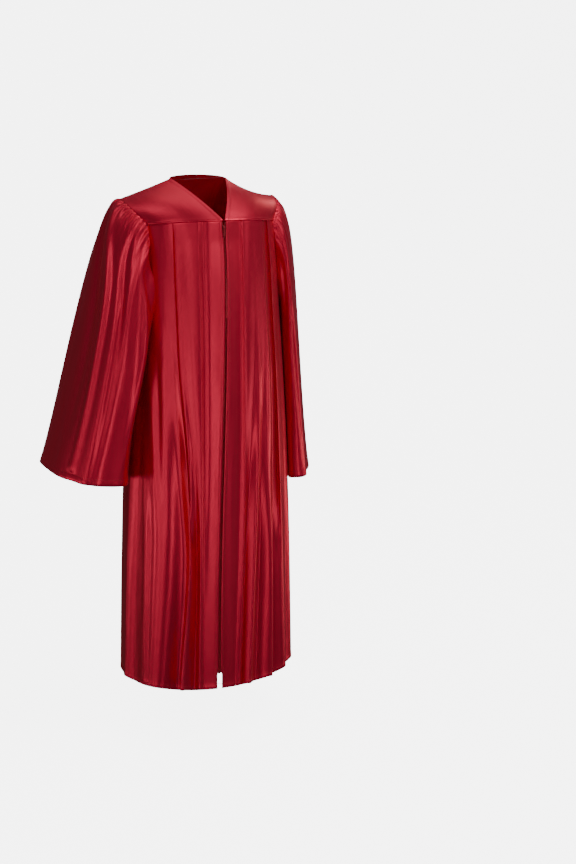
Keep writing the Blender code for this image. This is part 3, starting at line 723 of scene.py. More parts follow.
@dataclass(frozen=True)
class SmallPartFinish:
    """A plain small part: thread, woven tape, nylon coil or lacquered metal."""

    name: str
    colour: Colour
    worn: Colour
    roughness: float
    metallic: float = 0.0
    coat: float = 0.0
    grain: float = 900.0
    grain_depth: float = 0.00005

    def material(self) -> bpy.types.Material:
        """Builds the finish as a material, once.

        Returns:
            The material.
        """
        recipe = Recipe(self.name)
        if recipe.known:
            return recipe.made
        recipe.fix({"Metallic": self.metallic, "Coat Weight": self.coat, "Coat Roughness": 0.18})
        where = recipe.object_space()
        fine = recipe.noise(where, (self.grain, self.grain, self.grain), 3.0, 0.6)
        recipe.tone(recipe.noise(where, (160.0, 160.0, 160.0), 2.0, 0.5), self.colour, self.worn)
        recipe.rough(fine, self.roughness, 0.2)
        recipe.bump((fine, self.grain_depth))
        return recipe.made


@dataclass(frozen=True)
class BackdropFinish:
    """The pale painted sweep of the studio."""

    name: str = "backdrop"
    shade: float = 0.90
    cloud: float = 0.02
    glow: float = 5.5

    def material(self) -> bpy.types.Material:
        """Builds the finish as a material, once.

        Returns:
            The material.
        """
        recipe = Recipe(self.name)
        if recipe.known:
            return recipe.made
        recipe.fix({
            "Specular IOR Level": 0.1, "Roughness": 0.9, "Emission Color": (1.0, 1.0, 1.0, 1.0),
            "Emission Strength": self.glow,
        })
        cloudy = recipe.noise(recipe.object_space(), (1.3, 1.3, 1.3), 2.0, 0.5)
        recipe.tone(cloudy, (self.shade,) * 3, (self.shade + self.cloud,) * 3)
        return recipe.made


SATIN = SatinFinish()
REVERSE = ReverseFinish()
THREAD = SmallPartFinish("thread", (0.40, 0.012, 0.030), (0.48, 0.020, 0.040), 0.46)
TAPE = SmallPartFinish("zip_tape", (0.34, 0.008, 0.022), (0.42, 0.012, 0.030), 0.66)
COIL = SmallPartFinish("zip_teeth", (0.62, 0.030, 0.055), (0.72, 0.040, 0.070), 0.34)
LACQUER = SmallPartFinish("zip_metal", (0.40, 0.020, 0.034), (0.48, 0.045, 0.055), 0.30, 0.55, 0.5, 500.0)
BACKDROP = BackdropFinish()
Finish = SatinFinish | ReverseFinish | SmallPartFinish | BackdropFinish


def placed_mesh(mesh: bpy.types.Mesh, *finishes: Finish) -> bpy.types.Object:
    """Puts a smooth mesh into the scene under its own name.

    Args:
        mesh: The mesh.
        finishes: What it is made of, in the order of its material slots.

    Returns:
        The object.
    """
    mesh.shade_smooth()
    for finish in finishes:
        mesh.materials.append(finish.material())
    made = bpy.data.objects.new(mesh.name, mesh)
    bpy.context.scene.collection.objects.link(made)
    return made


@dataclass
class ClothCutter:
    """Makes cloth shells from functions that say where each point of a piece lies."""

    thickness: float = 0.0005
    body: str = "gown"

    def shell(
        self, name: str, columns: int, rows: int, place: Place, inside: Callable[[Vector], Vector],
        closed: bool = False,
    ) -> bpy.types.Object:
        """Makes one piece of cloth as a thin shell that replaces the solid of the same name.

        Args:
            name: The solid that the piece stands for.
            columns: Steps across the piece.
            rows: Steps down the piece.
            place: Gives the outer face's point at a column and a row.
            inside: Gives a point on the hollow side of the cloth.
            closed: Whether the last column is the first one, as on a sleeve.

        Returns:
            The finished piece.
        """
        spots = [[place(column % columns if closed else column, row) for row in range(rows + 1)]
                 for column in range(columns + 1)]
        across = self.lengths([spots[column][rows // 2] for column in range(columns + 1)])
        down = self.lengths(spots[columns // 2])
        bm = bmesh.new()
        bmesh.ops.create_grid(bm, x_segments=columns, y_segments=rows, size=0.5)
        cloth_map = bm.loops.layers.uv.new("cloth")
        for face in bm.faces:
            for loop in face.loops:
                column, row = self.index(loop.vert.co, columns, rows)
                loop[cloth_map].uv = (across[column], down[row])
        for vertex in bm.verts:
            column, row = self.index(vertex.co, columns, rows)
            vertex.co = spots[column][row]
        if closed:
            bmesh.ops.remove_doubles(bm, verts=bm.verts, dist=1e-6)
        bm.normal_update()
        facing = 0.0
        for face in bm.faces:
            middle = face.calc_center_median()
            facing += face.normal.dot(middle - inside(middle)) * face.calc_area()
        if facing < 0:
            bmesh.ops.reverse_faces(bm, faces=bm.faces)
        mesh = bpy.data.meshes.new(f"cloth_{name}")
        bm.to_mesh(mesh)
        bm.free()
        made = placed_mesh(mesh, SATIN, REVERSE)
        wall = made.modifiers.new("wall", "SOLIDIFY")
        wall.thickness = self.thickness
        wall.offset = -1.0
        wall.use_even_offset = False
        wall.material_offset = 1
        wall.material_offset_rim = 0
        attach(made, self.body)
        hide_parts(name)
        LOG.info("%s: %d x %d", name, columns, rows)
        return made

    @staticmethod
    def index(spot: Vector, columns: int, rows: int) -> tuple[int, int]:
        """Tells the column and row of a vertex of the fresh grid."""
        return round((spot.x + 0.5) * columns), round((spot.y + 0.5) * rows)

    @staticmethod
    def lengths(points: Sequence[Vector]) -> list[float]:
        """Gives the running length along points.

        Args:
            points: The points.

        Returns:
            The length from the first point to each of them.
        """
        total, found = 0.0, [0.0]
        for first, second in zip(points, points[1:]):
            total += (second - first).length
            found.append(total)
        return found


class Zone(Enum):
    """A part of a body panel: before a fold, on its riser, after the last fold, or under the armhole."""

    FLAT = "flat"
    RISER = "riser"
    TAIL = "tail"
    ARMHOLE = "armhole"


class Spot(NamedTuple):
    """A column of a body panel: a share of one zone, with the number of its fold."""

    zone: Zone
    fold: int
    share: float


@dataclass
class BodyPanels:
    """The two fronts and the back, pleated into the yoke."""

    form: FoldedBody
    cutter: ClothCutter
    rows: int = 150
    flat_columns: int = 13
    riser_columns: int = 12
    tail_columns: int = 14
    armhole_columns: int = 26
    seam_gap: float = 0.0003
    side_lap: float = 1.2
    lap_inset: float = 0.0019
    under_yoke: float = 0.0016
    yoke_inside: float = 0.0012
    tuck_reach: float = 1.45
    top_tuck: float = 0.0035
    open_pleat: float = 0.12
    hem_line: float = 0.0105
    hem_rows: tuple[float, ...] = (0.0015, 0.0042, 0.0068, 0.0079, 0.0088, 0.0097, 0.0110)
    edge_shares: tuple[float, ...] = (0.018, 0.05, 0.095, 0.132, 0.148, 0.164, 0.180, 0.215)
    zip_line: float = 0.0072
    hem_inset: float = 0.0012
    hem_turn: tuple[float, ...] = (-0.0006, 0.0004, 0.0030, 0.0070, 0.0120)
    turned_inset: float = 0.0011
    front_cut: tuple[float, float] = (0.50, 1.22)
    front_area: float = 0.42
    back_cut: tuple[float, float] = (1.02, 1.20)
    back_area: float = 0.78

    def build(self) -> None:
        """Builds the two fronts and the back."""
        rows = self.row_shares()
        for side in Side:
            name = f"front_{side.name.lower()}"
            columns = self.columns(Half.FRONT, side)
            piece = self.cutter.shell(
                name, len(columns) + 1, len(rows) - 1,
                lambda column, row, side=side, columns=columns: self.front_point(
                    side, columns, column, rows[row]
                ),
                self.form.axis,
            )
        self.build_back()

    def build_back(self) -> None:
        """Builds the back in one piece from side seam to side seam."""
        right = self.columns(Half.BACK, Side.RIGHT)
        left = self.columns(Half.BACK, Side.LEFT)
        rows = self.row_shares()
        reach = len(right)

        def place(column: int, row: int) -> Vector:
            """Gives a point, counting the columns from the right side seam.

            Args:
                column: The number of the column.
                row: The number of the row.

            Returns:
                The point.
            """
            if column <= reach:
                return self.half_point(Half.BACK, Side.RIGHT, right, reach - column, rows[row])
            return self.half_point(Half.BACK, Side.LEFT, left, column - reach, rows[row])

        piece = self.cutter.shell("back", reach + len(left), len(rows) - 1, place, self.form.axis)

    def row_shares(self) -> list[float]:
        """Lists how far up each row lies: under 0 in the turned hem, over 1 under the yoke.

        Returns:
            The shares.
        """
        body = [mix(row / self.rows, ease(row / self.rows), 0.35) for row in range(self.rows + 1)]
        body = sorted([share for share in body if share == 0.0 or share > 0.0135] + list(self.hem_rows))
        return [-3.0, -2.5, -2.0, -1.5, -1.0] + body + [1.3, 1.6, 2.0]

    def columns(self, half: Half, side: Side) -> list[Spot]:
        """Lists the columns of half a panel, from its middle to the side seam.

        Args:
            half: Front or back.
            side: The wearer's side.

        Returns:
            The columns.
        """

        def spots(zone: Zone, fold: int, steps: int) -> list[Spot]:
            """Lists evenly spaced columns of one zone."""
            return [Spot(zone, fold, step / steps) for step in range(1, steps + 1)]

        form = self.form
        corner = 180.0 - form.yoke_back_corner if half is Half.BACK else form.yoke_front_corner
        found = [Spot(Zone.FLAT, 0, 0.0)]
        sewn = [index for index, fold in enumerate(form.folds[half, side]) if fold.foot[0] < corner]
        for index in sewn:
            shares = [step / self.flat_columns for step in range(1, self.flat_columns + 1)]
            shares = [share - 0.10 * math.sin(2.0 * math.pi * share) for share in shares]
            if index == 0 and half is Half.FRONT:
                shares = list(self.edge_shares) + [share for share in shares if share > 0.25]
            found += [Spot(Zone.FLAT, index, share) for share in shares]
            found += spots(Zone.RISER, index, self.riser_columns)
        found += spots(Zone.TAIL, sewn[-1], self.tail_columns)
        return found + spots(Zone.ARMHOLE, 0, self.armhole_columns)

    def front_point(self, side: Side, columns: list[Spot], column: int, up: float) -> Vector:
        """Gives a front's point; the first column is turned under along the zip, the last at the side seam.

        Args:
            side: The wearer's side.
            columns: The columns from columns().
            column: The number of the column.
            up: How far up the panel, as in row_shares().

        Returns:
            The point.
        """
        if column == 0:
            return self.half_point(Half.FRONT, side, columns, 0, up, turned=self.turned_inset)
        return self.half_point(Half.FRONT, side, columns, column - 1, up)

    def half_point(
        self, half: Half, side: Side, columns: list[Spot], column: int, up: float, turned: float = 0.0,
    ) -> Vector:
        """Gives a point of half a panel.

        Args:
            half: Front or back.
            side: The wearer's side.
            columns: The columns from columns().
            column: Which of them; one past the last is the side seam's turned edge.
            up: How far up the panel, as in row_shares().
            turned: How far the point is turned in behind the outer face.

        Returns:
            The point.
        """
        form = self.form
        lap = 0.0
        if column >= len(columns):
            column = len(columns) - 1
            turned, lap = (self.lap_inset, self.side_lap) if half is Half.FRONT else (self.turned_inset, 0.0)
        spot = columns[column]
        inset, shown = turned, up
        if up < 0:
            inset = max(turned, self.hem_inset)
            shown = self.hem_turn[round(-2 * up) - 2]
        tucked = max(0.0, up - 1.0)
        if spot.zone is Zone.ARMHOLE:
            return self.under_armhole(half, side, columns, spot.share, up, shown, inset, tucked, lap)
        top_angle, _ = self.spot_at(half, side, spot, form.yoke_front_z)
        top = form.yoke_back_z if half is Half.BACK else form.yoke_seam_z(top_angle)
        top -= 2.2 * self.seam_gap
        z = self.height(top, up, shown)
        angle, offset = self.spot_at(half, side, spot, z)
        offset += form.crease_offset(half, side, angle, z) + self.hem_relief(z)
        if half is Half.FRONT and spot.zone is Zone.FLAT and spot.fold == 0:
            start = form.zip_angle(side, z, form.gap_half(z))
            offset += self.edge_relief(math.radians(angle - start) * form.level(z).half_width)
        offset = self.tucked_in(offset - inset, tucked)
        return self.finish_point(half, side, angle, z + self.top_tuck * tucked, offset)

    def height(self, top: float, up: float, shown: float) -> float:
        """Gives the height of a row between the hem and the top edge of its column.

        Args:
            top: The height of the column's top edge.
            up: How far up the panel, as in row_shares().
            shown: How far over the hem a turned row lies.

        Returns:
            The height.
        """
        if up < 0:
            return self.form.hem_z + shown
        return mix(self.form.hem_z, top, min(1.0, up))

    def tucked_in(self, offset: float, tucked: float) -> float:
        """Gives the offset above the yoke's seam, where the cloth goes under and meets the yoke's inside."""
        under = offset - self.under_yoke * ease(tucked / 0.4)
        return mix(under, max(under, -self.yoke_inside), ease((tucked - 0.2) / 0.8))

    def finish_point(self, half: Half, side: Side, angle: float, z: float, offset: float) -> Vector:
        """Turns an angle from the panel's middle into a point, with the hem hanging lower in its troughs.

        Args:
            half: Front or back.
            side: The wearer's side.
            angle: Degrees from the middle of that half.
            z: The height.
            offset: How far outside the section's outline it lies.

        Returns:
            The point.
        """
        true_angle = 180.0 - angle if half is Half.BACK else angle
        point = self.form.section_point(side.value * true_angle, z, offset)
        point.z += self.form.hem_drop(offset, z)
        return point

    def under_armhole(
        self, half: Half, side: Side, columns: list[Spot], share: float, up: float, shown: float,
        inset: float, tucked: float, lap: float,
    ) -> Vector:
        """Gives a point of a column that starts at the armhole's edge.

        Args:
            half: Front or back.
            side: The wearer's side.
            columns: The columns from columns().
            share: The column's share of the way to the side seam.
            up: How far up the panel, as in row_shares().
            shown: How far over the hem a turned row lies.
            inset: How far behind the outer face it lies.
            tucked: How far it is tucked under the yoke, from 0 to 1.
            lap: How many degrees past the seam it reaches.

        Returns:
            The point.
        """
        form = self.form
        angle, top = form.armhole_low(share, half)
        top -= self.seam_gap
        z = self.height(top, up, shown)
        tail = next(spot for spot in reversed(columns) if spot.zone is Zone.TAIL)
        corner, _ = self.spot_at(half, side, tail, form.hem_z)
        seam = form.side_seam - math.degrees(self.seam_gap / 0.2)
        angle = 180.0 - angle if half is Half.BACK else angle
        angle = min(angle, seam) - math.degrees(0.6 * self.seam_gap / 0.2)
        rise = min(1.0, max(0.0, up))
        angle = mix(mix(corner, seam, share), angle, rise**2.2) + lap
        offset = form.relief(half, side, angle, z) + self.hem_relief(z)
        return self.finish_point(half, side, angle, z, offset - inset - self.under_yoke * ease(tucked / 0.4))

    def hem_relief(self, z: float) -> float:
        """Gives the rise of the doubled hem and the small groove of its stitch line.

        Args:
            z: The height.

        Returns:
            The rise in metres.
        """
        rise = z - self.form.hem_z
        if rise > 0.02:
            return 0.0
        doubled = 0.0005 * (1.0 - ease((rise - self.hem_line - 0.0004) / 0.0016))
        return doubled - 0.0005 * math.exp(-(((rise - self.hem_line) / 0.0009) ** 2))

    def edge_relief(self, away: float) -> float:
        """Gives the rise of the doubled edge beside the zip, with its stitch line and rounded fold.

        Args:
            away: The distance from the zip's edge.

        Returns:
            The rise in metres.
        """
        if away > 0.014:
            return 0.0
        doubled = 0.0006 * (1.0 - ease((away - self.zip_line - 0.0004) / 0.0016))
        groove = 0.0006 * math.exp(-(((away - self.zip_line) / 0.0009) ** 2))
        return doubled - groove - 0.0008 * math.exp(-((away / 0.0009) ** 2))

    def spot_at(self, half: Half, side: Side, spot: Spot, z: float) -> tuple[float, float]:
        """Gives the angle from the panel's middle and the offset of a column under the yoke, at height z.

        Args:
            half: Front or back.
            side: The wearer's side.
            spot: The column.
            z: The height.

        Returns:
            The angle in degrees and the offset in metres.
        """
        form = self.form
        folds = form.folds_at(half, side, z)
        foot, lip, depth = folds[spot.fold]
        if spot.zone is Zone.FLAT:
            if spot.fold:
                start = folds[spot.fold - 1][1]
            else:
                start = 0.0 if half is Half.BACK else form.zip_angle(side, z, form.gap_half(z))
            angle = mix(start, foot, spot.share)
            return angle, form.fold_offset(half, side, angle, z)
        if spot.zone is Zone.TAIL:
            corner = 180.0 - form.yoke_back_corner if half is Half.BACK else form.yoke_front_corner
            angle = mix(lip, mix(corner, corner + 6.0, form.fall(z)), spot.share)
            return angle, form.fold_offset(half, side, angle, z)
        tuck = self.tuck(half, side, spot.fold, z)
        share = spot.share
        if share < 0.6:
            reach = self.tuck_reach * ease(share / 0.6)
        else:
            reach = mix(self.tuck_reach, 1.0, ease((share - 0.6) / 0.4))
        rise = ease((share - 0.55) / 0.45)
        reach = mix(share, reach, tuck)
        rise = mix(form.rise(share, z), rise, tuck)
        return mix(foot, lip, reach), -depth * (1.0 - rise)

    def tuck(self, half: Half, side: Side, fold: int, z: float) -> float:
        """Tells how far a pleat is folded back under itself: 1 where pressed, 0 where it is a soft fold.

        Args:
            half: Front or back.
            side: The wearer's side.
            fold: The number of the fold.
            z: The height.

        Returns:
            The share, from 0 to 1.
        """
        if self.form.folds[half, side][fold].depth[0] <= 0.0:
            return 0.0
        pressed = self.open_pleat if half is Half.FRONT and fold == 0 else 1.0
        return pressed * (1.0 - ease((-0.62 - z) / 0.40))


@dataclass
class YokePieces:
    """The three flat pieces that carry the gown on the shoulders."""

    form: FoldedBody
    cutter: ClothCutter
    neck_half: float = 0.0700
    neck_back: Vector = field(default_factory=lambda: Vector((0.0, 0.072, 0.006)))
    shoulder_tip: Vector = field(default_factory=lambda: Vector((0.194, 0.041, -0.047)))
    neck_point: Vector = field(default_factory=lambda: Vector((0.0700, 0.026, 0.0)))
    neck_tip_half: float = 0.0010
    bulge: float = 0.007
    seam_gap: float = 0.0003
    strip_width: float = 0.0090
    strip_rise: float = 0.0007
    roll_width: float = 0.0030
    roll_rise: float = 0.0018
    roll_drop: float = 0.0012
    roll_reach: float = 0.004
    stitch_inset: float = 0.0022
    neck_share: float = 0.36
    front_reach: float = 0.12
    back_width: float = 0.38
    back_reach: float = 0.14
    columns: int = 64
    rows: int = 44
    back_columns: int = 120
    front_cut: tuple[float, float] = (0.20, 0.15)
    front_area: float = 0.0235
    back_cut: tuple[float, float] = (0.44, 0.19)
    back_area: float = 0.062

    def sag(self, side: Side) -> float:
        """Gives how far the shoulder seam sags between its ends."""
        return 0.001 if side is Side.RIGHT else 0.009

    @staticmethod
    def mirrored(point: Vector, side: Side) -> Vector:
        """Gives a point that is stated for the wearer's left, on the side asked for."""
        return Vector((side.value * point.x, point.y, point.z))

    @staticmethod
    def bow(start: Vector, end: Vector, share: float, rise: Vector) -> Vector:
        """Gives a point on a shallow arch from start to end, whose middle is moved by rise."""
        return mix(start, end, share) + rise * (4.0 * share * (1.0 - share))

    def shoulder_seam(self, side: Side, share: float) -> Vector:
        """Gives a point of the seam from the neck point to the shoulder tip."""
        return self.bow(
            self.mirrored(self.neck_point, side), self.mirrored(self.shoulder_tip, side), share,
            Vector((0, 0, -self.sag(side))),
        )

    def corner(self, side: Side, half: Half) -> Vector:
        """Gives the yoke's lower outer corner."""
        angle = self.form.yoke_back_corner if half is Half.BACK else self.form.yoke_front_corner
        return self.form.section_point(side.value * angle, self.form.yoke_seam_z(angle), 0.0)

    def edge(self, side: Side, share: float, half: Half) -> Vector:
        """Gives the yoke's edge at the armhole, from the shoulder tip down to its corner."""
        rise = Vector((0.010, 0.010, 0.006)) if half is Half.BACK else Vector((0.009, -0.012, 0.007))
        return self.bow(
            self.mirrored(self.shoulder_tip, side), self.corner(side, half), share, self.mirrored(rise, side)
        )

    def neck_edge(self, side: Side, share: float) -> Vector:
        """Gives the V neck's edge, from the neck point down to the zip.

        Args:
            side: The wearer's side.
            share: The share of the way along.

        Returns:
            The point.
        """
        form = self.form
        angle = form.zip_angle(side, form.yoke_front_z, self.neck_tip_half)
        low = form.section_point(side.value * angle, form.yoke_front_z, 0.0)
        rise = self.mirrored(Vector((0.003, -0.010, 0.006)), side)
        return self.bow(self.mirrored(self.neck_point, side), low, share, rise)

    def front_seam(self, side: Side, share: float) -> Vector:
        """Gives the front yoke's lower seam, from the zip to the armhole.

        Args:
            side: The wearer's side.
            share: The share of the way along.

        Returns:
            The point.
        """
        form = self.form
        start = form.zip_angle(side, form.yoke_front_z, self.neck_tip_half)
        angle = mix(start, form.yoke_front_corner, share)
        return form.section_point(side.value * angle, form.yoke_seam_z(angle), 0.0)

    @staticmethod
    def patch(left: Curve, right: Curve, low: Curve, high: Curve, across: float, up: float) -> Vector:
        """Gives a point of the surface stretched inside four edges; each edge is a function of its share.

        Args:
            left: The left edge.
            right: The right edge.
            low: The edge where up is 0.
            high: The edge where up is 1.
            across: The share of the way across.
            up: The share of the way from the low edge to the high one.

        Returns:
            The point.
        """
        ruled = mix(left(up), right(up), across) + mix(low(across), high(across), up)
        corners = mix(mix(low(0.0), low(1.0), across), mix(high(0.0), high(1.0), across), up)
        return ruled - corners

    @staticmethod
    def within(share: float, low: float, high: float, length: float) -> float:
        """Gives a share of an edge of that length, kept clear of its ends."""
        return mix(low / length, 1.0 - high / length, share)

    def front_point(self, side: Side, across: float, down: float) -> Vector:
        """Gives a point of a front yoke: across from the neck to the armhole, down to the lower seam.

        Args:
            side: The wearer's side.
            across: The share of the way across.
            down: The share of the way down.

        Returns:
            The point.
        """
        gap = self.seam_gap
        across = self.within(across, 0.0, gap, self.front_reach)
        down = self.within(down, gap, gap, self.front_reach)
        place = self.patch(
            lambda share: self.neck_edge(side, share),
            lambda share: self.edge(side, share, Half.FRONT),
            lambda share: self.shoulder_seam(side, share),
            lambda share: self.front_seam(side, share),
            across, down,
        )
        swell = self.bulge * math.sin(math.pi * across) * math.sin(math.pi * down)
        swell += self.strip((place - self.neck_edge(side, down)).length)
        seam = self.front_seam(side, across)
        away = (1.0 - down) * self.front_reach
        return place + Vector((0.0, -0.8, 0.6)) * swell + self.rolled(seam, place, away)

    def rolled(self, seam: Vector, place: Vector, away: float) -> Vector:
        """Gives how far the yoke's lower edge rolls out over the pleats.

        Args:
            seam: The nearest point of the seam.
            place: The point that is moved.
            away: Its distance from the seam.

        Returns:
            The move.
        """
        level = self.form.level(round(seam.z, 3))
        out = Vector((place.x - level.middle_x, place.y - level.side_y, 0.0)).normalized()
        roll = math.exp(-(((away - self.roll_width) / self.roll_width) ** 2))
        drop = self.roll_drop * math.exp(-((away / self.roll_reach) ** 2))
        return out * (self.roll_rise * roll) - Vector((0.0, 0.0, drop))

    def strip(self, away: float) -> float:
        """Gives the rise of the turned and stitched edge at a distance from the neck's edge.

        Args:
            away: The distance from the neck's edge.

        Returns:
            The rise in metres.
        """
        raised = 1.0 - ease((away - self.strip_width + 0.0006) / 0.0012)
        groove = math.exp(-(((away - self.strip_width + self.stitch_inset) / 0.0007) ** 2))
        return self.strip_rise * raised - 0.0003 * groove

    def back_top(self, across: float) -> Vector:
        """Gives the back yoke's upper edge: shoulder seam, back neck, shoulder seam.

        Args:
            across: From -1 at the wearer's right to 1 at the left.

        Returns:
            The point.
        """
        side = Side.RIGHT if across < 0 else Side.LEFT
        share = abs(across)
        if share >= self.neck_share:
            return self.shoulder_seam(side, (share - self.neck_share) / (1.0 - self.neck_share))
        swing = share / self.neck_share * math.pi / 2
        depth = self.neck_back.y - self.neck_point.y
        return Vector((
            side.value * self.neck_half * math.sin(swing),
            self.neck_point.y + depth * math.cos(swing),
            self.neck_back.z * math.cos(swing),
        ))

    def back_point(self, across: float, down: float) -> Vector:
        """Gives a point of the back yoke: across from the wearer's right to left, down to the lower seam.

        Args:
            across: The share of the way across.
            down: The share of the way down.

        Returns:
            The point.
        """
        gap = self.seam_gap
        across = self.within(across, gap, gap, self.back_width)
        down = self.within(down, 2.0 * gap, gap, self.back_reach)
        corner = 180.0 - self.form.yoke_back_corner
        place = self.patch(
            lambda share: self.edge(Side.RIGHT, share, Half.BACK),
            lambda share: self.edge(Side.LEFT, share, Half.BACK),
            lambda share: self.back_top(2.0 * share - 1.0),
            lambda share: self.form.section_point(
                180.0 - mix(-corner, corner, share), self.form.yoke_back_z, 0.0
            ),
            across, down,
        )
        swell = 2.0 * self.bulge * math.sin(math.pi * across) * math.sin(math.pi * down)
        if abs(2.0 * across - 1.0) < self.neck_share:
            swell += self.strip((place - self.back_top(2.0 * across - 1.0)).length)
        seam = self.form.section_point(180.0 - mix(-corner, corner, across), self.form.yoke_back_z, 0.0)
        away = (1.0 - down) * self.back_reach
        return place + Vector((0.0, 0.9, 0.4)) * swell + self.rolled(seam, place, away)

    def build(self) -> None:
        """Builds the three yoke pieces."""
        for side in Side:
            def front(across: float, down: float, side: Side = side) -> Vector:
                """Gives a point of this front yoke."""
                return self.front_point(side, across, down)

            self.piece(f"yoke_front_{side.name.lower()}", self.columns, front, self.front_cut, self.front_area)
        self.piece("yoke_back", self.back_columns, self.back_point, self.back_cut, self.back_area)

    def piece(self, name: str, columns: int, place: Patch, cut: tuple[float, float], area: float) -> None:
        """Builds one yoke piece, with its columns and rows closer together at the edges.

        Args:
            name: The solid that it stands for.
            columns: Steps across it.
            place: Gives its point at a share across and a share down.
            cut: Its flat width and length; not used.
            area: Its flat area; not used.
        """
        def edged(column: int, row: int) -> Vector:
            """Gives the point at a column and a row."""
            across, down = column / columns, row / self.rows
            return place(mix(across, ease(across), 0.5), mix(down, ease(down), 0.4))

        made = self.cutter.shell(name, columns, self.rows, edged, lambda _: Vector((0.0, 0.02, -0.22)))


@dataclass(frozen=True)
class SleeveHang:
    """How one sleeve hangs: its cuff, its head and its creases."""

    side: Side
    cuff_centre: tuple[float, float, float]
    cuff_half_width: float
    cuff_half_depth: float
    cuff_turn: float
    cuff_tilt: float
    head_swell: float
    spread: float
    fold_at: tuple[float, ...]
    fold_depth: tuple[float, ...]
    creases: tuple[Crease, ...]
    overlap: float = 0.006
    lap: float = 0.0
    elbow_reach: float = 0.36
    fold_width: float = 0.050


class Gather(NamedTuple):
    """One gather of a sleeve's head: where its trough lies, its depth and width, and how far down it runs."""

    at: float
    depth: float
    width: float
    reach: float


@dataclass
class Sleeves:
    """The two bell sleeves, gathered into the armholes."""

    form: FoldedBody
    yoke: YokePieces
    cutter: ClothCutter
    armhole_gap: float = 0.0013
    yoke_part: float = 0.36
    underarm_reach: float = 0.035
    head_share: float = 0.24
    under_share: float = 0.14
    cuff_squareness: float = 0.72
    lap_at: float = 0.34
    lap_width: float = 0.085
    body_clearance: float = 0.004
    columns: int = 250
    rows: int = 116
    cuff_line: float = 0.0100
    length: float = 0.66
    cut: tuple[float, float] = (0.80, 0.66)
    cloth_area: float = 0.46
    cuff_insets: tuple[float, ...] = (0.0007, 0.0011, 0.0011, 0.0011)
    cuff_turn: tuple[float, ...] = (0.0006, -0.0004, -0.00575, -0.0115)
    gathers: tuple[Gather, ...] = (
        Gather(-0.185, 4.6, 0.0065, 0.34), Gather(-0.152, 5.0, 0.0060, 0.24), Gather(-0.121, 4.4, 0.0070, 0.30),
        Gather(-0.087, 5.4, 0.0060, 0.20), Gather(-0.055, 4.6, 0.0065, 0.28), Gather(-0.022, 5.6, 0.0060, 0.17),
        Gather(0.012, 5.2, 0.0065, 0.26), Gather(0.040, 6.0, 0.0070, 0.16), Gather(0.064, 4.4, 0.0050, 0.30),
        Gather(0.086, 5.2, 0.0060, 0.22), Gather(0.106, 4.0, 0.0045, 0.33), Gather(0.124, 5.4, 0.0055, 0.36),
        Gather(0.143, 4.2, 0.0045, 0.30), Gather(0.160, 5.6, 0.0055, 0.40), Gather(0.178, 4.4, 0.0045, 0.34),
        Gather(0.196, 5.0, 0.0055, 0.42), Gather(0.215, 3.2, 0.0050, 0.30),
    )
    hangs: tuple[SleeveHang, ...] = (
        SleeveHang(
            Side.RIGHT, (-0.3120, 0.045, -0.722), 0.088, 0.155, -8.0, 0.16, 0.064, 0.35,
            (0.12, 0.36, 0.62, 0.84), (0.008, 0.008, 0.018, 0.020),
            (
                Crease(
                    (0.06, 0.28, 0.50, 0.72, 0.98), (0.046, 0.062, 0.100, 0.104, 0.100),
                    (0.0, 8.0, 10.0, 9.0, 5.0), 0.018,
                ),
                Crease(
                    (0.20, 0.40, 0.60, 0.80, 1.0), (0.150, 0.170, 0.205, 0.215, 0.205),
                    (0.0, -8.0, -10.0, -7.0, -3.0), 0.022,
                ),
                Crease(
                    (0.22, 0.40, 0.58, 0.80, 0.98), (0.235, 0.280, 0.300, 0.305, 0.290),
                    (0.0, 8.0, 10.0, 7.0, 0.0), 0.017,
                ),
                Crease((0.10, 0.36, 0.60, 0.90), (0.000, 0.016, 0.040, 0.030), (0.0, -7.0, -7.0, -2.0), 0.020),
                Crease((0.20, 0.44, 0.70, 0.96), (0.930, 0.930, 0.920, 0.900), (0.0, 4.0, 5.0, 0.0), 0.024),
                Crease((0.16, 0.40, 0.70, 0.96), (0.780, 0.760, 0.740, 0.720), (0.0, -4.0, -5.0, -2.0), 0.026),
            ),
            overlap=0.021, lap=0.036,
        ),
        SleeveHang(
            Side.LEFT, (0.2760, 0.125, -0.774), 0.052, 0.160, -14.0, 0.05, 0.056, 0.13,
            (0.10, 0.30, 0.66, 0.86), (0.010, 0.008, 0.014, 0.018),
            (
                Crease((0.04, 0.20, 0.40, 0.62), (0.150, 0.175, 0.200, 0.215), (0.0, 4.0, 4.0, 0.0), 0.016),
                Crease((0.10, 0.34, 0.60, 0.90), (0.235, 0.245, 0.250, 0.235), (0.0, 4.0, 5.0, 0.0), 0.018),
                Crease((0.20, 0.42, 0.70, 0.98), (0.205, 0.215, 0.200, 0.180), (0.0, -4.0, -5.0, -1.0), 0.018),
                Crease((0.10, 0.34, 0.66, 0.96), (0.060, 0.050, 0.040, 0.030), (0.0, 4.0, 4.0, 0.0), 0.022),
                Crease((0.16, 0.40, 0.70, 0.96), (0.930, 0.940, 0.950, 0.960), (0.0, -4.0, -5.0, -1.0), 0.024),
            ),
        ),
    )

    def armhole_point(self, side: Side, share: float) -> Vector:
        """Gives the armhole's edge: from the shoulder tip down to the underarm at 0.5, up the back to 1.

        Args:
            side: The wearer's side.
            share: The share of the way along.

        Returns:
            The point.
        """
        share = share % 1.0
        half = Half.BACK if share > 0.5 else Half.FRONT
        run = 2.0 * (1.0 - share) if half is Half.BACK else 2.0 * share
        if run < self.yoke_part:
            return self.yoke.edge(side, run / self.yoke_part, half)
        angle, z = self.form.armhole_low((run - self.yoke_part) / (1.0 - self.yoke_part), half)
        return self.form.body_point(side, angle, z)

    def squared(self, value: float) -> float:
        """Bends a sine or cosine so that the section it draws is fuller at its corners than an ellipse."""
        return math.copysign(abs(value) ** self.cuff_squareness, value)

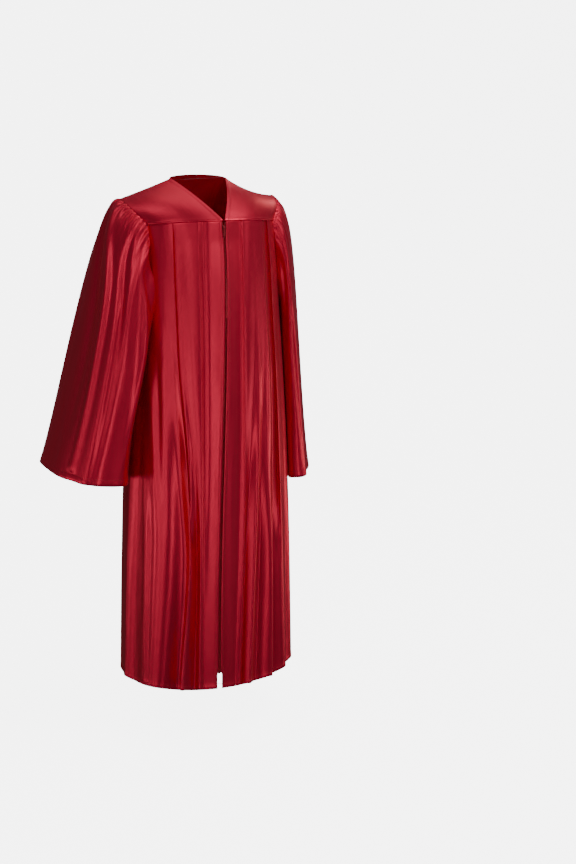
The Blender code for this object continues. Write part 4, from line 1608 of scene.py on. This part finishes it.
    def point(self, hang: SleeveHang, round_share: float, down: float, inset: float = 0.0) -> Vector:
        """Gives a point of a sleeve.

        Args:
            hang: Which sleeve.
            round_share: Round it from the top by the front and the underarm.
            down: Down it from the armhole (0) to the cuff (1).
            inset: How far behind the outer face the point lies.

        Returns:
            The point.
        """
        sign = hang.side.value
        swing = 2.0 * math.pi * round_share
        turn = math.radians(hang.cuff_turn) * sign
        out = Vector((sign * math.cos(turn), sign * math.sin(turn), 0.0))
        ahead = Vector((sign * out.y, -sign * out.x, 0.0))
        ring = out * (hang.cuff_half_width * self.squared(math.cos(swing)))
        ring += ahead * (hang.cuff_half_depth * self.squared(math.sin(swing)))
        ring.z = hang.cuff_tilt * sign * ring.x
        start = self.armhole_point(hang.side, round_share)
        end = Vector(hang.cuff_centre) + ring
        topness = 0.5 + 0.5 * math.cos(swing)
        leave = Vector((
            sign * mix(0.18, 1.0, topness), 0.35 * (ring.y / hang.cuff_half_depth), mix(-0.9, 0.22, topness)
        )).normalized()
        start = start + leave * self.armhole_gap + Vector((sign, 0.0, 0.0)) * (0.6 * self.armhole_gap)
        start = start + self.overlap(hang, round_share)
        reach = mix(self.underarm_reach, hang.head_swell, topness)
        droop = Vector((sign * hang.spread * topness, 0.0, -1.0)).normalized()
        points = (start, start + leave * reach, end - droop * hang.elbow_reach, end)
        place = Vector((0.0, 0.0, 0.0))
        for index, weight in enumerate((1.0, 3.0, 3.0, 1.0)):
            place += points[index] * (weight * (1.0 - down) ** (3 - index) * down**index)
        place += self.lapped(hang, round_share, down)
        rising = 0.55 * topness * (1.0 - down)
        outward = Vector((sign * math.cos(swing), -math.sin(swing), rising)).normalized()
        return self.keep_clear(hang.side, place + outward * (self.relief(hang, round_share, down) - inset))

    def lapped(self, hang: SleeveHang, round_share: float, down: float) -> Vector:
        """Gives how far the sleeve's front hangs over the side of the body.

        Args:
            hang: Which sleeve.
            round_share: The share of the way round the sleeve.
            down: The share of the way down.

        Returns:
            The move.
        """
        away = ((round_share % 1.0) - self.lap_at) / self.lap_width
        lap = hang.lap * ease(down / 0.12) * (1.0 - 0.6 * ease((down - 0.55) / 0.45)) * math.exp(-away * away)
        return Vector((-hang.side.value * lap, -0.4 * lap, 0.0))

    def overlap(self, hang: SleeveHang, round_share: float) -> Vector:
        """Gives how far the front gathers lie over the edge of the front panel.

        Args:
            hang: Which sleeve.
            round_share: The share of the way round the sleeve.

        Returns:
            The move.
        """
        share = round_share % 1.0
        reach = hang.overlap * ease((share - 0.175) / 0.06) * (1.0 - ease((share - 0.36) / 0.12))
        return Vector((-0.425 * hang.side.value, -0.935, 0.0)) * reach

    def relief(self, hang: SleeveHang, round_share: float, down: float) -> float:
        """Tells how far the cloth lies in or out of the plain tube, in gathers and in soft folds.

        Args:
            hang: Which sleeve.
            round_share: The share of the way round the sleeve.
            down: The share of the way down.

        Returns:
            The rise in metres.
        """
        depth = self.cuff_relief(down)
        for gather in self.gathers:
            away = (round_share - gather.at + 0.5) % 1.0 - 0.5
            spread = gather.width * (1.0 + 1.4 * down / gather.reach)
            if abs(away) < 3.0 * spread and down < gather.reach:
                strength = 0.45 + 0.55 * ease(down / 0.05)
                strength *= 1.0 - ease((down - 0.25 * gather.reach) / (0.75 * gather.reach))
                depth -= gather.depth / 1000.0 * strength * math.exp(-((away / spread) ** 2))
        for at, fold in zip(hang.fold_at, hang.fold_depth):
            away = (round_share - at + 0.5) % 1.0 - 0.5
            depth -= fold * ease(down / 0.9) * math.exp(-((away / hang.fold_width) ** 2))
        return depth + sum(crease.offset(round_share % 1.0, down, wraps=True) for crease in hang.creases)

    def keep_clear(self, side: Side, place: Vector) -> Vector:
        """Gives the point, moved sideways where the body of the gown is nearer than the clearance.

        Args:
            side: The wearer's side.
            place: The point.

        Returns:
            The point.
        """
        form = self.form
        z = place.z
        level = form.level(round(z, 4))
        depth = level.back_y - level.side_y if place.y > level.side_y else level.side_y - level.front_y
        away = (place.y - level.side_y) / (depth + self.body_clearance)
        if z > form.underarm_z - 0.004 or abs(away) >= 1.0:
            return place
        least = (level.half_width + self.body_clearance) * math.sqrt(1.0 - away * away)
        least += side.value * level.middle_x
        clear = ease((form.underarm_z - z) / 0.03)
        wanted = max(side.value * place.x, mix(side.value * place.x, least, clear))
        return Vector((side.value * wanted, place.y, z))

    def ring_shares(self) -> list[float]:
        """Lists the columns' shares round a sleeve: from the underarm, close together over the gathered head.

        Returns:
            The shares.
        """
        under = int(self.columns * self.under_share)
        head = self.columns - 2 * under
        shares = [mix(-0.5, -self.head_share, step / under) for step in range(under)]
        shares += [mix(-self.head_share, self.head_share, step / head) for step in range(head)]
        return shares + [mix(self.head_share, 0.5, step / under) for step in range(under)]

    def row_shares(self) -> list[float]:
        """Lists the rows' shares down a sleeve: closer together at the head; over 1 in the turned cuff.

        Returns:
            The shares.
        """
        body = [(row / self.rows) ** 1.35 for row in range(self.rows + 1)]
        line = 1.0 - self.cuff_line / self.length
        steps = (-0.0062, -0.0024, -0.0012, 0.0, 0.0012, 0.0030, 0.0085)
        body = [share for share in body if share < line - 0.009] + [line + step for step in steps] + [1.0]
        return [-2.0, -1.0] + body + [1.001, 1.002, 1.003, 1.004]

    def cuff_relief(self, down: float) -> float:
        """Gives the rise of the doubled cuff and the small groove of its stitch line.

        Args:
            down: The share of the way down.

        Returns:
            The rise in metres.
        """
        rise = (1.0 - down) * self.length
        if rise > 0.02:
            return 0.0
        doubled = 0.0005 * (1.0 - ease((rise - self.cuff_line - 0.0004) / 0.0016))
        return doubled - 0.0006 * math.exp(-(((rise - self.cuff_line) / 0.0009) ** 2))

    def placed(self, hang: SleeveHang, round_share: float, down: float) -> Vector:
        """Gives a point of the sleeve with its seam allowance at the armhole and its turned cuff.

        Args:
            hang: Which sleeve.
            round_share: The share of the way round the sleeve.
            down: The share of the way down.

        Returns:
            The point.
        """
        if down < 0.0:
            start = self.point(hang, round_share, 0.0)
            back = self.armhole_point(hang.side, round_share) - start
            inward = Vector((-hang.side.value, 0.0, 0.0)) * 0.0012
            return start + back * (0.55 if down > -1.5 else 0.9) + inward * (1.0 if down > -1.5 else 2.6)
        if down > 1.0:
            turn = round((down - 1.0) * 1000) - 1
            low, back = max(0.0, self.cuff_turn[turn]), min(0.0, self.cuff_turn[turn])
            edge = self.point(hang, round_share, 1.0 + back / self.length, self.cuff_insets[turn])
            return edge - Vector((0.0, 0.0, low))
        return self.point(hang, round_share, down)

    def build(self) -> None:
        """Builds the two sleeves."""
        shares, rows = self.ring_shares(), self.row_shares()
        for hang in self.hangs:
            def inside(point: Vector, hang: SleeveHang = hang) -> Vector:
                """Gives a point in the hollow of the sleeve.

                Args:
                    point: A point of the cloth.
                    hang: Which sleeve.

                Returns:
                    The point.
                """
                share = min(1.0, max(0.0, (-0.12 - point.z) / 0.6))
                middle = mix(Vector((hang.side.value * 0.19, 0.03, 0.0)), Vector(hang.cuff_centre), share)
                return Vector((middle.x, middle.y, point.z - 0.05))

            piece = self.cutter.shell(
                f"sleeve_{hang.side.name.lower()}", len(shares), len(rows) - 1,
                lambda column, row, hang=hang: self.placed(hang, shares[column], rows[row]),
                inside, closed=True,
            )


class Softbox(NamedTuple):
    """A rectangular soft light on a ring round the gown; azimuth runs from the camera to the right."""

    name: str
    azimuth: float
    elevation: float
    power: float
    width: float = 0.75
    height: float = 1.5


@dataclass
class Studio:
    """The pale sweep, the soft lights and the camera at the photograph's angle."""

    floor_z: float = -1.42
    sweep_half: float = 6.0
    sweep_front: float = -5.0
    sweep_back: float = 3.6
    sweep_steps: int = 48
    sweep_height: float = 4.2
    sweep_radius: float = 1.4
    azimuth: float = 17.0
    distance: float = 3.3
    height: float = 0.17
    yaw: float = -3.7
    pitch: float = 13.8
    focal_pixels: float = 1325.0
    picture_height: float = 864.0
    sensor: float = 36.0
    world_strength: float = 0.062
    gain: float = 1.15
    ring: float = 3.9
    aim: Vector = field(default_factory=lambda: Vector((0.0, 0.03, -0.60)))
    softboxes: tuple[Softbox, ...] = (
        Softbox("key_low", 12.0, -16.0, 10.1),
        Softbox("key_high", 22.0, 24.0, 17.2, height=1.7),
        Softbox("key_left_low", -26.0, -16.0, 6.4),
        Softbox("key_left_high", -14.0, 24.0, 5.0, height=1.7),
        Softbox("left_near_low", -38.0, -16.0, 2.9),
        Softbox("left_near_high", -38.0, 24.0, 11.6, height=1.7),
        Softbox("left_low", -52.0, -16.0, 7.0),
        Softbox("side_left", -75.0, -16.0, 12.9),
        Softbox("rim_left", -100.0, -16.0, 4.2),
        Softbox("right_low", 50.0, -16.0, 2.2),
        Softbox("right_high", 50.0, 24.0, 9.7, height=1.7),
        Softbox("side_right_high", 68.0, 24.0, 5.5, height=1.7),
        Softbox("side_right", 90.0, -16.0, 7.9),
        Softbox("rim_right", 120.0, -16.0, 11.2),
        Softbox("back_high", 155.0, 24.0, 8.8, height=1.7),
        Softbox("top_right", 80.0, 62.0, 48.7, 1.6, 1.6),
        Softbox("top_left", -90.0, 62.0, 10.0, 1.6, 1.6),
        Softbox("top_back", 180.0, 62.0, 11.1, 2.0, 1.6),
    )

    def build(self) -> None:
        """Sets up the floor, the lights, the world and the camera."""
        self.build_sweep()
        self.build_world()
        for box in self.softboxes:
            self.light(box)
        self.build_camera()

    def build_sweep(self) -> None:
        """Builds the floor that curves up into the wall behind the gown."""
        bm = bmesh.new()
        bmesh.ops.create_grid(bm, x_segments=1, y_segments=self.sweep_steps, size=0.5)
        front = self.sweep_front
        corner = self.sweep_back - self.sweep_radius
        arc = self.sweep_radius * math.pi / 2
        total = (corner - front) + arc + self.sweep_height
        for vertex in bm.verts:
            run = (vertex.co.y + 0.5) * total
            if run < corner - front:
                y, z = front + run, 0.0
            elif run < corner - front + arc:
                turn = (run - (corner - front)) / self.sweep_radius
                y, z = corner + self.sweep_radius * math.sin(turn), self.sweep_radius * (1.0 - math.cos(turn))
            else:
                y, z = self.sweep_back, self.sweep_radius + run - (corner - front) - arc
            vertex.co = Vector((vertex.co.x * 2.0 * self.sweep_half, y, self.floor_z + z))
        bmesh.ops.recalc_face_normals(bm, faces=bm.faces)
        mesh = bpy.data.meshes.new("studio_sweep")
        bm.to_mesh(mesh)
        bm.free()
        sweep = placed_mesh(mesh, BACKDROP)
        sweep.visible_diffuse = False
        sweep.visible_glossy = False

    def build_world(self) -> None:
        """Sets the soft light that comes from all round."""
        world = bpy.data.worlds.new("studio")
        world.use_nodes = True
        background = world.node_tree.nodes["Background"]
        background.inputs["Color"].default_value = (1.0, 0.99, 0.98, 1.0)
        background.inputs["Strength"].default_value = self.world_strength
        bpy.context.scene.world = world

    def light(self, box: Softbox) -> None:
        """Adds one rectangular soft light that faces the gown.

        Args:
            box: The light's place, size and power.
        """
        around, up = math.radians(box.azimuth - self.azimuth), math.radians(box.elevation)
        away = Vector((math.sin(around) * math.cos(up), -math.cos(around) * math.cos(up), math.sin(up)))
        spot = self.aim + away * self.ring
        data = bpy.data.lights.new(box.name, "AREA")
        data.shape = "RECTANGLE"
        data.size, data.size_y = box.width, box.height
        data.energy = box.power * self.gain
        lamp = bpy.data.objects.new(box.name, data)
        lamp.visible_camera = False
        bpy.context.scene.collection.objects.link(lamp)
        turn = (self.aim - spot).to_track_quat("-Z", "Y").to_matrix().to_4x4()
        lamp.matrix_world = Matrix.Translation(spot) @ turn

    def build_camera(self) -> None:
        """Places the camera where the photograph was taken from."""
        around, yaw, pitch = math.radians(self.azimuth), math.radians(self.yaw), math.radians(self.pitch)
        spot = Vector((-self.distance * math.sin(around), -self.distance * math.cos(around), self.height))
        ahead = Vector((math.sin(around), math.cos(around), 0.0))
        beside = Vector((math.cos(around), -math.sin(around), 0.0))
        level = ahead * math.cos(yaw) - beside * math.sin(yaw)
        right = beside * math.cos(yaw) + ahead * math.sin(yaw)
        forward = level * math.cos(pitch) - Vector((0.0, 0.0, math.sin(pitch)))
        up = level * math.sin(pitch) + Vector((0.0, 0.0, math.cos(pitch)))
        data = bpy.data.cameras.new("camera")
        data.sensor_width = self.sensor
        data.lens = self.sensor * self.focal_pixels / self.picture_height
        camera = bpy.data.objects.new("camera", data)
        bpy.context.scene.collection.objects.link(camera)
        camera.matrix_world = Matrix.Translation(spot) @ Matrix((right, up, -forward)).transposed().to_4x4()
        bpy.context.scene.camera = camera


def bead_mesh(name: str, places: Sequence[Matrix], segments: int, rings: int) -> bpy.types.Mesh:
    """Makes one mesh that holds a copy of a small round bead at each place.

    Args:
        name: The mesh's name.
        places: Turns, sizes and moves of a bead that is one unit across.
        segments: Faces round a bead.
        rings: Faces along it.

    Returns:
        The mesh.
    """
    bm = bmesh.new()
    bmesh.ops.create_uvsphere(bm, u_segments=segments, v_segments=rings, radius=0.5)
    corners = len(bm.verts)
    mesh = bpy.data.meshes.new(name)
    bm.to_mesh(mesh)
    while len(bm.verts) < corners * len(places):
        bm.from_mesh(mesh)
        bm.to_mesh(mesh)
    bm.verts.ensure_lookup_table()
    for index, vertex in enumerate(bm.verts[:corners * len(places)]):
        vertex.co = places[index // corners] @ vertex.co
    bmesh.ops.delete(bm, geom=bm.verts[corners * len(places):], context="VERTS")
    bm.to_mesh(mesh)
    bm.free()
    return mesh


@dataclass
class Sewing:
    """Rows of small stitches that lie on the cloth."""

    stitch: float = 0.0026
    gap: float = 0.0009
    thread: float = 0.00070
    flatness: float = 0.7
    lift: float = 0.00028
    body: str = "gown"

    def row(self, path: Sequence[Vector], outward: Sequence[Vector]) -> list[Matrix]:
        """Lays stitches along a line.

        Args:
            path: Close points of the line on the cloth.
            outward: The direction away from the cloth at each of them.

        Returns:
            The place of each stitch.
        """
        found = []
        travelled, wanted = 0.0, 0.5 * self.stitch
        for index, (start, end) in enumerate(zip(path, path[1:])):
            run = (end - start).length
            while run > 0 and wanted <= travelled + run:
                share = (wanted - travelled) / run
                spot = start.lerp(end, share) + outward[index].normalized() * self.lift
                found.append(self.one(spot, (end - start).normalized(), outward[index]))
                wanted += self.stitch + self.gap
            travelled += run
        return found

    def one(self, spot: Vector, way: Vector, outward: Vector) -> Matrix:
        """Gives the place of one stitch: a small rounded bead of thread that lies along way.

        Args:
            spot: The middle of the stitch.
            way: The direction of the line.
            outward: The direction away from the cloth.

        Returns:
            Its matrix.
        """
        across = outward.cross(way).normalized()
        up = way.cross(across).normalized()
        turn = Matrix((across, up, way)).transposed().to_4x4()
        size = Matrix.Diagonal((self.thread, self.flatness * self.thread, self.stitch, 1.0))
        return Matrix.Translation(spot) @ turn @ size

    def finish(self, places: list[Matrix], name: str) -> None:
        """Turns the stitches into a piece that rides on the gown.

        Args:
            places: The place of each stitch.
            name: The piece's name.
        """
        made = placed_mesh(bead_mesh(name, places, 6, 4), THREAD)
        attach(made, self.body)
        LOG.info("%s: %d stitches", name, len(places))


@dataclass
class Topstitching:
    """The gown's visible stitch lines: neck, zip, hem and cuffs."""

    form: FoldedBody
    yoke: YokePieces
    sleeves: Sleeves
    sewing: Sewing = field(default_factory=Sewing)
    zip_reach: float = 0.0072
    hem_rise: float = 0.0105

    def build(self) -> None:
        """Builds every stitch line."""
        self.neck()
        self.zip_lines()
        self.hem()
        self.cuffs()

    def neck(self) -> None:
        """Sews down the turned edge of the V neck and of the back neck."""
        places = self.sewing.row(*self.line(self.back_neck_spot, 0.335, 0.665, 120))
        for side in Side:
            seam = self.line(lambda share, side=side: self.neck_spot(side, share), 0.015, 0.985, 90)
            places += self.sewing.row(*seam)
        self.sewing.finish(places, "stitches_neck")

    def neck_spot(self, side: Side, down: float) -> tuple[Vector, Vector]:
        """Gives the stitch line's point beside the V neck, and the way out of the cloth.

        Args:
            side: The wearer's side.
            down: The share of the way down.

        Returns:
            The point and the direction.
        """
        across = 0.0
        edge = self.yoke.neck_edge(side, down)
        for _ in range(8):
            spot = self.yoke.front_point(side, across, down)
            across += (self.yoke.strip_width - self.yoke.stitch_inset - (spot - edge).length) / 0.125
        beside = self.yoke.front_point(side, across + 0.01, down)
        below = self.yoke.front_point(side, across, min(1.0, down + 0.01))
        out = (beside - spot).cross(below - spot).normalized() * side.value
        return spot, out if out.y < 0.3 else -out

    def back_neck_spot(self, across: float) -> tuple[Vector, Vector]:
        """Gives the stitch line's point under the back neck, and the way out of the cloth.

        Args:
            across: The share of the way across.

        Returns:
            The point and the direction.
        """
        down = 0.0
        edge = self.yoke.back_top(2.0 * across - 1.0)
        for _ in range(8):
            spot = self.yoke.back_point(across, down)
            down += (self.yoke.strip_width - self.yoke.stitch_inset - (spot - edge).length) / 0.14
        return spot, Vector((0.0, 0.55, 0.83))

    @staticmethod
    def line(place: Seam, first: float, last: float, steps: int) -> tuple[list[Vector], list[Vector]]:
        """Reads points and outward directions of a line between two shares."""
        found = [place(mix(first, last, step / steps)) for step in range(steps + 1)]
        return [spot for spot, _ in found], [out for _, out in found]

    def zip_lines(self) -> None:
        """Sews both fronts to the zip's tapes."""
        places = []
        for side in Side:
            seam = self.line(lambda share, side=side: self.zip_spot(side, share), 0.0, 1.0, 240)
            places += self.sewing.row(*seam)
        self.sewing.finish(places, "stitches_zip")

    def zip_spot(self, side: Side, share: float) -> tuple[Vector, Vector]:
        """Gives the stitch line's point beside the zip, and the way out of the cloth.

        Args:
            side: The wearer's side.
            share: The share of the way along.

        Returns:
            The point and the direction.
        """
        form = self.form
        z = mix(form.yoke_front_z - 0.003, form.slit_top_z - 0.004, share)
        angle = form.zip_angle(side, z, form.slot_half + self.zip_reach)
        offset = form.relief(Half.FRONT, side, angle, z)
        spot = form.section_point(side.value * angle, z, offset)
        return spot, form.section_point(side.value * angle, z, offset + 1.0) - spot

    def hem(self) -> None:
        """Sews down the hem all round, one line on each half."""
        places = []
        for half in Half:
            for side in Side:
                centre = self.form.zip_angle(side, self.form.hem_z, 0.008) / 90.0
                start = centre if half is Half.FRONT else 0.0
                places += self.sewing.row(*self.line(
                    lambda share, half=half, side=side: self.hem_spot(half, side, share), start, 0.995, 320
                ))
        self.sewing.finish(places, "stitches_hem")

    def hem_spot(self, half: Half, side: Side, share: float) -> tuple[Vector, Vector]:
        """Gives the hem line's point at a share of the way from the middle to the side seam.

        Args:
            half: Front or back.
            side: The wearer's side.
            share: The share of the way along.

        Returns:
            The point and the direction.
        """
        form = self.form
        angle, z = share * form.side_seam, form.hem_z + self.hem_rise
        offset = form.relief(half, side, angle, z)
        true_angle = 180.0 - angle if half is Half.BACK else angle
        spot = form.section_point(side.value * true_angle, z, offset)
        out = form.section_point(side.value * true_angle, z, offset + 1.0) - spot
        spot.z += form.hem_drop(offset, z)
        return spot, out

    def cuffs(self) -> None:
        """Sews down the turned edge of both cuffs."""
        places = []
        for hang in self.sleeves.hangs:
            seam = self.line(lambda share, hang=hang: self.cuff_spot(hang, share), 0.0, 0.998, 260)
            places += self.sewing.row(*seam)
        self.sewing.finish(places, "stitches_cuffs")

    def cuff_spot(self, hang: SleeveHang, share: float) -> tuple[Vector, Vector]:
        """Gives the cuff line's point at a share of the way round.

        Args:
            hang: Which sleeve.
            share: The share of the way along.

        Returns:
            The point and the direction.
        """
        down = 1.0 - self.sleeves.cuff_line / self.sleeves.length
        spot = self.sleeves.point(hang, share, down)
        beside = self.sleeves.point(hang, share + 0.002, down)
        below = self.sleeves.point(hang, share, down + 0.004)
        out = (beside - spot).cross(below - spot).normalized()
        middle = Vector(hang.cuff_centre)
        return spot, out if out.dot(spot - middle) > 0 else -out


@dataclass
class ZipParts:
    """The closed zip: its tapes, coil, stop, slider and pull tab."""

    form: FoldedBody
    pitch: float = 0.0016
    coil_half: float = 0.00225
    coil_wire: float = 0.00095
    tooth_shift: float = 0.36
    tooth_reach: float = 1.25
    cord_behind: float = 0.0006
    cord_depth: float = 0.0009
    coil_top: float = -0.1130
    coil_bottom: float = -1.2350
    behind: float = 0.0017
    body: str = "gown"

    def build(self, frame: dict) -> None:
        """Winds the coil and gives the zip's solids their finishes.
        """
        for name, finish in (
            ("zip_tape_right", TAPE), ("zip_tape_left", TAPE), ("zip_chain", COIL), ("zip_stop", LACQUER),
            ("zip_slider", LACQUER), ("zip_pull_tab", LACQUER),
        ):
            node = frame["nodes"][name]
            for slot in node.material_slots:
                slot.material = finish.material()
        self.coil()

    def coil(self) -> None:
        """Builds the two meshed rows of coil teeth and the core they close on."""
        count = int((self.coil_top - self.coil_bottom) / self.pitch)
        places = [
            self.tooth(side, self.coil_top - (index + 0.5 + 0.25 * side.value) * self.pitch)
            for index in range(count) for side in Side
        ]
        places += [
            self.cord(self.coil_top - (index + 0.5) * 2.0 * self.pitch) for index in range(count // 2 + 2)
        ]
        made = placed_mesh(bead_mesh("zip_coil", places, 8, 4), COIL)
        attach(made, self.body)
        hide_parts("zip_chain")
        LOG.info("zip_coil: %d faces", len(made.data.polygons))

    def tooth(self, side: Side, z: float) -> Matrix:
        """Gives the place of one turn of the coil, which reaches over the middle.

        Args:
            side: The wearer's side.
            z: The height.

        Returns:
            Its matrix.
        """
        middle = self.spot(0.0, z)
        outer = self.spot(side.value * self.coil_half, z)
        way = (outer - middle).normalized()
        out = way.cross(Vector((0.0, 0.0, 1.0))).normalized()
        centre = middle + way * (self.tooth_shift * self.coil_half)
        turn = Matrix((way, out, Vector((0.0, 0.0, 1.0)))).transposed().to_4x4()
        size = Matrix.Diagonal((self.tooth_reach * self.coil_half, 1.5 * self.coil_wire, self.coil_wire, 1.0))
        return Matrix.Translation(centre) @ turn @ size

    def cord(self, z: float) -> Matrix:
        """Gives the place of one stretch of the cord that the coil is wound on.

        Args:
            z: The height.

        Returns:
            Its matrix.
        """
        centre = self.spot(0.0, z) + Vector((0.0, self.cord_behind, 0.0))
        lean = (self.spot(0.0, z - self.pitch) - self.spot(0.0, z + self.pitch)).to_track_quat("Z", "Y")
        size = Matrix.Diagonal((5.0 * self.coil_half, self.cord_depth, 6.0 * self.pitch, 1.0))
        return Matrix.Translation(centre) @ lean.to_matrix().to_4x4() @ size

    def spot(self, reach: float, z: float) -> Vector:
        """Gives a point of the coil's layer that lies reach beside the line of the zip.

        Args:
            reach: How far beside the line of the zip it lies.
            z: The height.

        Returns:
            The point.
        """
        form = self.form
        angle = form.zip_angle(Side.LEFT, z, reach)
        foot = form.fold_offset(Half.FRONT, Side.LEFT, 0.0, z)
        return form.section_point(angle, z, foot - self.behind)


def main() -> None:
    """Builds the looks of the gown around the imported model."""
    logging.basicConfig(level=logging.INFO, format="%(name)s: %(message)s")
    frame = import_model()
    Studio().build()
    form = FoldedBody()
    cutter = ClothCutter()
    yoke = YokePieces(form, cutter)
    yoke.build()
    BodyPanels(form, cutter).build()
    sleeves = Sleeves(form, yoke, cutter)
    sleeves.build()
    ZipParts(form).build(frame)
    Topstitching(form, yoke, sleeves).build()


if __name__ == "__main__":
    main()
